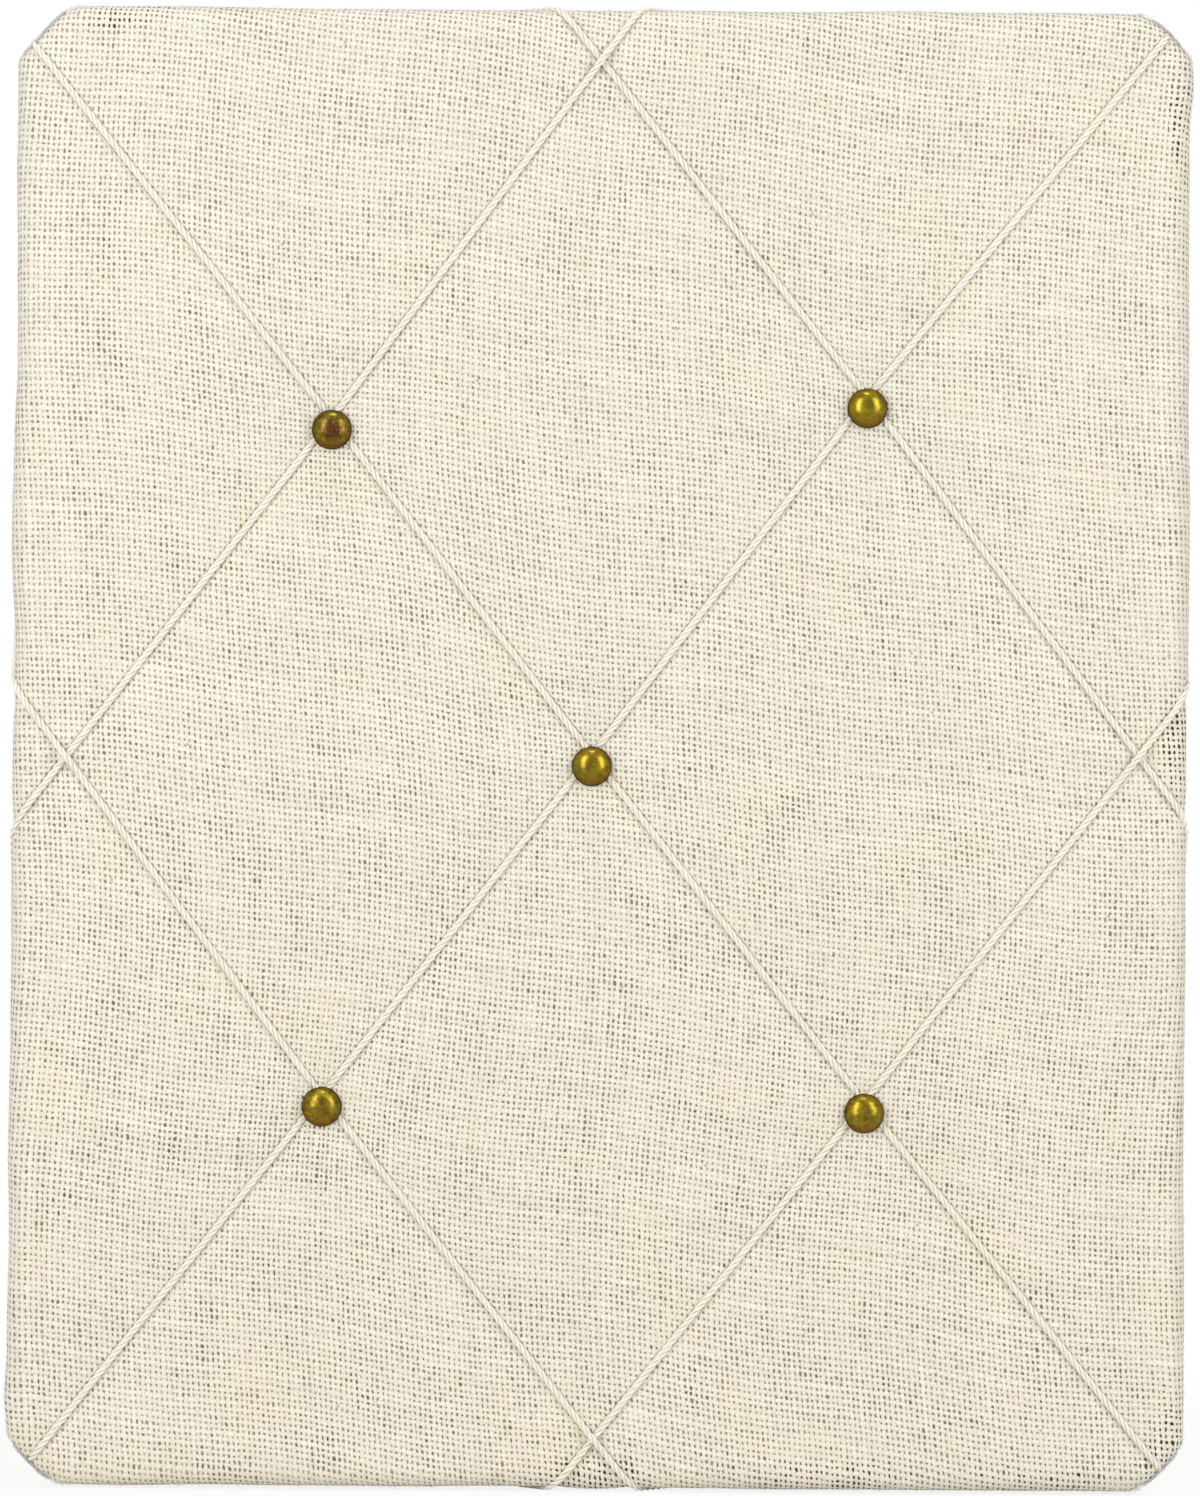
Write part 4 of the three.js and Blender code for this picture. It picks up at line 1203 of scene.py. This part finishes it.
def build_nail(name, seed):
    """A hollow dome with a rolled rim on a pointed shank, slightly dented by the hammer."""
    inner, inner_height = NAIL_RADIUS - NAIL_WALL, NAIL_HEIGHT - NAIL_WALL
    lip = NAIL_WALL / 2
    profile = [(0, NAIL_POINT), (NAIL_SHANK, NAIL_POINT + NAIL_POINT_LENGTH)]
    profile.append((NAIL_SHANK, NAIL_RIM + inner_height * math.sqrt(1 - (NAIL_SHANK / inner) ** 2)))
    for angle in np.linspace(math.acos(NAIL_SHANK / inner), 0, NAIL_STEPS // 2)[1:]:
        profile.append((inner * math.cos(angle), NAIL_RIM + inner_height * math.sin(angle)))
    for angle in np.linspace(NAIL_LIP_START, NAIL_LIP_END, NAIL_LIP_STEPS):
        reach = NAIL_RADIUS - lip + lip * math.cos(angle)
        profile.append((reach, NAIL_RIM + NAIL_LIP_FLATNESS * lip * math.sin(angle)))
    for angle in np.linspace(0, math.pi / 2, NAIL_STEPS)[:-1]:
        profile.append((NAIL_RADIUS * math.cos(angle), NAIL_RIM + NAIL_HEIGHT * math.sin(angle)))
    profile.append((0, NAIL_RIM + NAIL_HEIGHT))
    points, faces = turned(profile, NAIL_SIDES, nail_places[name])
    for point in points:
        if -point[1] > NAIL_RIM:
            spot = Vector(point) * NAIL_DENTS_PER_METRE + Vector((seed, 0, 0))
            point[1] += noise.noise(spot) * NAIL_DENT
    nail = make_piece(f"dome_nail_{name}", points, faces, finishes.brass[name])
    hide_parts(f"nail_{name}")


# Loose fibres along the edge

def build_fibre(draw, place, outward, length, steps):
    depth = EDGE_DEPTH + draw.uniform(-FIBRE_SPREAD, FIBRE_SPREAD) * EDGE_ROUND
    lean, curl = draw.uniform(-FIBRE_LEAN, FIBRE_LEAN), draw.uniform(-FIBRE_CURL, FIBRE_CURL)
    start = place + outward * (edge_give(place[None])[0] - FIBRE_ROOT)
    share = np.linspace(0, 1, steps)
    out = length * share * (1 - FIBRE_DROOP * share)
    side = length * (lean * share + curl * share ** 2)
    spots = start + np.outer(out, outward) + np.outer(side, left_of(outward))
    path = at_depth(spots, depth + length * FIBRE_CURL_DEPTH * curl * share ** 2)
    return swept(path, *path_frames(path, FIBRE_FIRST_SIDE), circle(FIBRE_RADIUS, FIBRE_SIDES))


def build_fibres():
    """Stray ends of yarn along the edge: a few longer curls and a short fuzz all round."""
    draw = random.Random(FIBRE_SEED)
    border = outline(0)
    inner = outline(EDGE_ROUND)
    parts = []
    for count, shortest, longest, steps in FIBRE_KINDS:
        for _ in range(count):
            length = draw.uniform(shortest, longest)
            number = draw.randrange(len(border))
            outward = unit(border[number] - inner[number])
            parts.append(build_fibre(draw, border[number], outward, length, steps))
    points, faces, corners = joined(parts)
    make_piece("loose_fibres", points, faces, finishes.lint, layouts={"Yarn": corners})


# Back: card, core, staples and hangers

def softened_copy(node, name, material, bevel):
    """The CAD piece with its edges eased, in place of the sharp one."""
    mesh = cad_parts[node].data.copy()
    mesh.materials.clear()
    solid = bmesh.new()
    solid.from_mesh(mesh)
    bmesh.ops.remove_doubles(solid, verts=solid.verts, dist=WELD)
    bmesh.ops.dissolve_limit(solid, angle_limit=FLAT_ANGLE, verts=solid.verts, edges=solid.edges)
    solid.to_mesh(mesh)
    solid.free()
    piece = add_piece(name, mesh, material)
    ease = piece.modifiers.new("eased_edges", "BEVEL")
    ease.width = bevel
    ease.segments = EASE_STEPS
    ease.limit_method = "ANGLE"
    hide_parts(node)


def hanger_centre(side):
    """Middle of the ring's bar: across, up and depth."""
    low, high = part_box(f"hanger_ring_{side}")
    return (low.x + high.x) / 2, high.z - RING_WIRE, -(low.y + high.y) / 2


def build_ring(side):
    """A D of wire whose ends butt together in the strap."""
    x, z, depth = hanger_centre(side)
    half = RING_HALF_WIDTH
    line = np.concatenate([
        [(RING_BUTT_GAP / 2, 0)],
        arc((half - RING_CORNER, -RING_CORNER), RING_CORNER, math.pi / 2, 0, RING_CORNER_STEPS),
        arc((0, half - RING_REACH), half, 0, -math.pi, RING_BOW_STEPS),
        arc((RING_CORNER - half, -RING_CORNER), RING_CORNER, math.pi, math.pi / 2, RING_CORNER_STEPS),
        [(-RING_BUTT_GAP / 2, 0)],
    ])
    path = respaced(at_depth(line + (x, z), depth), RING_STEP)
    points, faces, _ = swept(path, *path_frames(path, (0, 1, 0)), circle(RING_WIRE, RING_SIDES))
    ring = make_piece(f"wire_ring_{side}", points, faces, finishes.hanger, f"{side}_ring")
    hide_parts(f"hanger_ring_{side}")


def build_strap(side):
    """A strip folded round the ring's bar, with both leaves running down flat to the screw."""
    x, z, depth = hanger_centre(side)
    far_level = STRAP_LEAF_PITCH - STRAP_BARREL
    line = np.concatenate([
        [(-STRAP_LENGTH, -STRAP_BARREL), (-STRAP_NEAR_BEND, -STRAP_BARREL)],
        arc((0, 0), STRAP_BARREL, -math.pi / 2, STRAP_FOLD_END, STRAP_FOLD_STEPS),
        [(-STRAP_FAR_BEND, far_level), (STRAP_FAR_SHORT - STRAP_LENGTH, far_level)],
    ])
    middle = np.stack([np.full(len(line), x), z + line[:, 0]], axis=1)
    path = smoothed(respaced(at_depth(middle, depth - line[:, 1]), STRAP_STEP), STRAP_SMOOTHING)
    wide, thick = STRAP_WIDTH / 2 - STRAP_EASE, STRAP_SHEET / 2 - STRAP_EASE
    section = []
    for quarter, (across, up) in enumerate([(1, 1), (-1, 1), (-1, -1), (1, -1)]):
        start, end = quarter * math.pi / 2, (quarter + 1) * math.pi / 2
        section.append(arc((across * wide, up * thick), STRAP_EASE, start, end, STRAP_EASE_STEPS))
    points, faces, _ = swept(path, *path_frames(path, (1, 0, 0)), np.concatenate(section))
    strap = make_piece(f"folded_strap_{side}", points, faces, finishes.hanger)
    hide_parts(f"hanger_strap_{side}")


def build_screw(side):
    """A pan-head screw with a crossed recess."""
    low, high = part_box(f"hanger_screw_{side}")
    centre = ((low.x + high.x) / 2, (low.z + high.z) / 2)
    crown = -high.y
    under = crown + SCREW_HEIGHT
    profile = [
        (0, crown + SCREW_LENGTH),
        (SCREW_TIP, under + SCREW_TIP_START),
        (SCREW_SHANK, under + SCREW_TAPER_START),
        (SCREW_SHANK, under),
        (SCREW_NECK, under),
    ]
    for angle in np.linspace(0, math.pi / 2, SCREW_CROWN_STEPS)[:-1]:
        reach = SCREW_HEAD * math.cos(angle) ** SCREW_CROWN_SHAPE
        profile.append((reach, under - SCREW_HEIGHT * math.sin(angle)))
    profile.append((0, crown))
    points, faces = turned(profile, SCREW_SIDES, centre)
    for point in points:
        across, up = abs(point[0] - centre[0]), abs(point[2] - centre[1])
        arm, reach = min(across, up), max(across, up)
        if -point[1] < under - SCREW_HEIGHT / 2 and reach < RECESS_REACH:
            wall = eased(1 - (arm - RECESS_HALF_WIDTH) / RECESS_WALL)
            point[1] -= wall * eased((RECESS_REACH - reach) / RECESS_END) * RECESS_DEPTH
    screw = make_piece(f"pan_screw_{side}", points, faces, finishes.hanger)
    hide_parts(f"hanger_screw_{side}")


build_wadding()
build_cover()
for cord in cords:
    build_cord(cord)
for seed, name in enumerate(NAILS):
    build_nail(name, NAIL_SEED_STEP * seed)
build_fibres()
softened_copy("backing_card", "kraft_backing", finishes.card, CARD_EASE)
softened_copy("core_board", "fibreboard_core", finishes.board, CORE_EASE)
for side in ("left", "right"):
    build_ring(side)
    build_strap(side)
    build_screw(side)
for name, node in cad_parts.items():
    if "staple" in name:
        node.data.materials.clear()
        node.data.materials.append(finishes.staple)

# Stage, light and camera

def build_floor():
    mesh = bpy.data.meshes.new("floor")
    disc = bmesh.new()
    bmesh.ops.create_circle(disc, cap_ends=True, segments=FLOOR_SEGMENTS, radius=FLOOR_RADIUS)
    disc.to_mesh(mesh)
    disc.free()
    floor = bpy.data.objects.new("floor", mesh)
    floor.location.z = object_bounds()[0].z
    mesh.materials.append(pale_floor())
    bpy.context.scene.collection.objects.link(floor)


def add_softbox(name, place, width, height, power):
    lamp = bpy.data.lights.new(name, "AREA")
    lamp.shape = "RECTANGLE"
    lamp.size, lamp.size_y = width, height
    lamp.energy = power
    softbox = bpy.data.objects.new(name, lamp)
    softbox.location = place
    softbox.rotation_euler = (-Vector(place)).to_track_quat("-Z", "Y").to_euler()
    bpy.context.scene.collection.objects.link(softbox)


def light_world(fill):
    """White to the camera and in reflections, and a plain fill light on everything else."""
    world = bpy.data.worlds.new("studio")
    bpy.context.scene.world = world
    world.use_nodes = True
    sky = Nodes(world.node_tree)
    background = sky.tree.nodes["Background"]
    sky.feed(background.inputs["Color"], (1, 1, 1, 1))
    sky.feed(background.inputs["Strength"], fill + sky.shown() * (1 - fill))


def add_camera():
    lens = bpy.data.cameras.new("camera")
    lens.sensor_width = SENSOR
    lens.lens = SENSOR * CAMERA_DISTANCE / FRAME_HEIGHT
    camera = bpy.data.objects.new("camera", lens)
    camera.location = (CAMERA_ACROSS, -CLOTH_FRONT - CAMERA_DISTANCE, CAMERA_UP)
    camera.rotation_euler = (math.pi / 2, CAMERA_ROLL, 0)
    bpy.context.scene.collection.objects.link(camera)
    bpy.context.scene.camera = camera


build_floor()
light_world(FILL_LIGHT)
for name, setting in SOFTBOXES.items():
    add_softbox(name, *setting)
add_camera()
bpy.context.scene.view_settings.view_transform = "Standard"
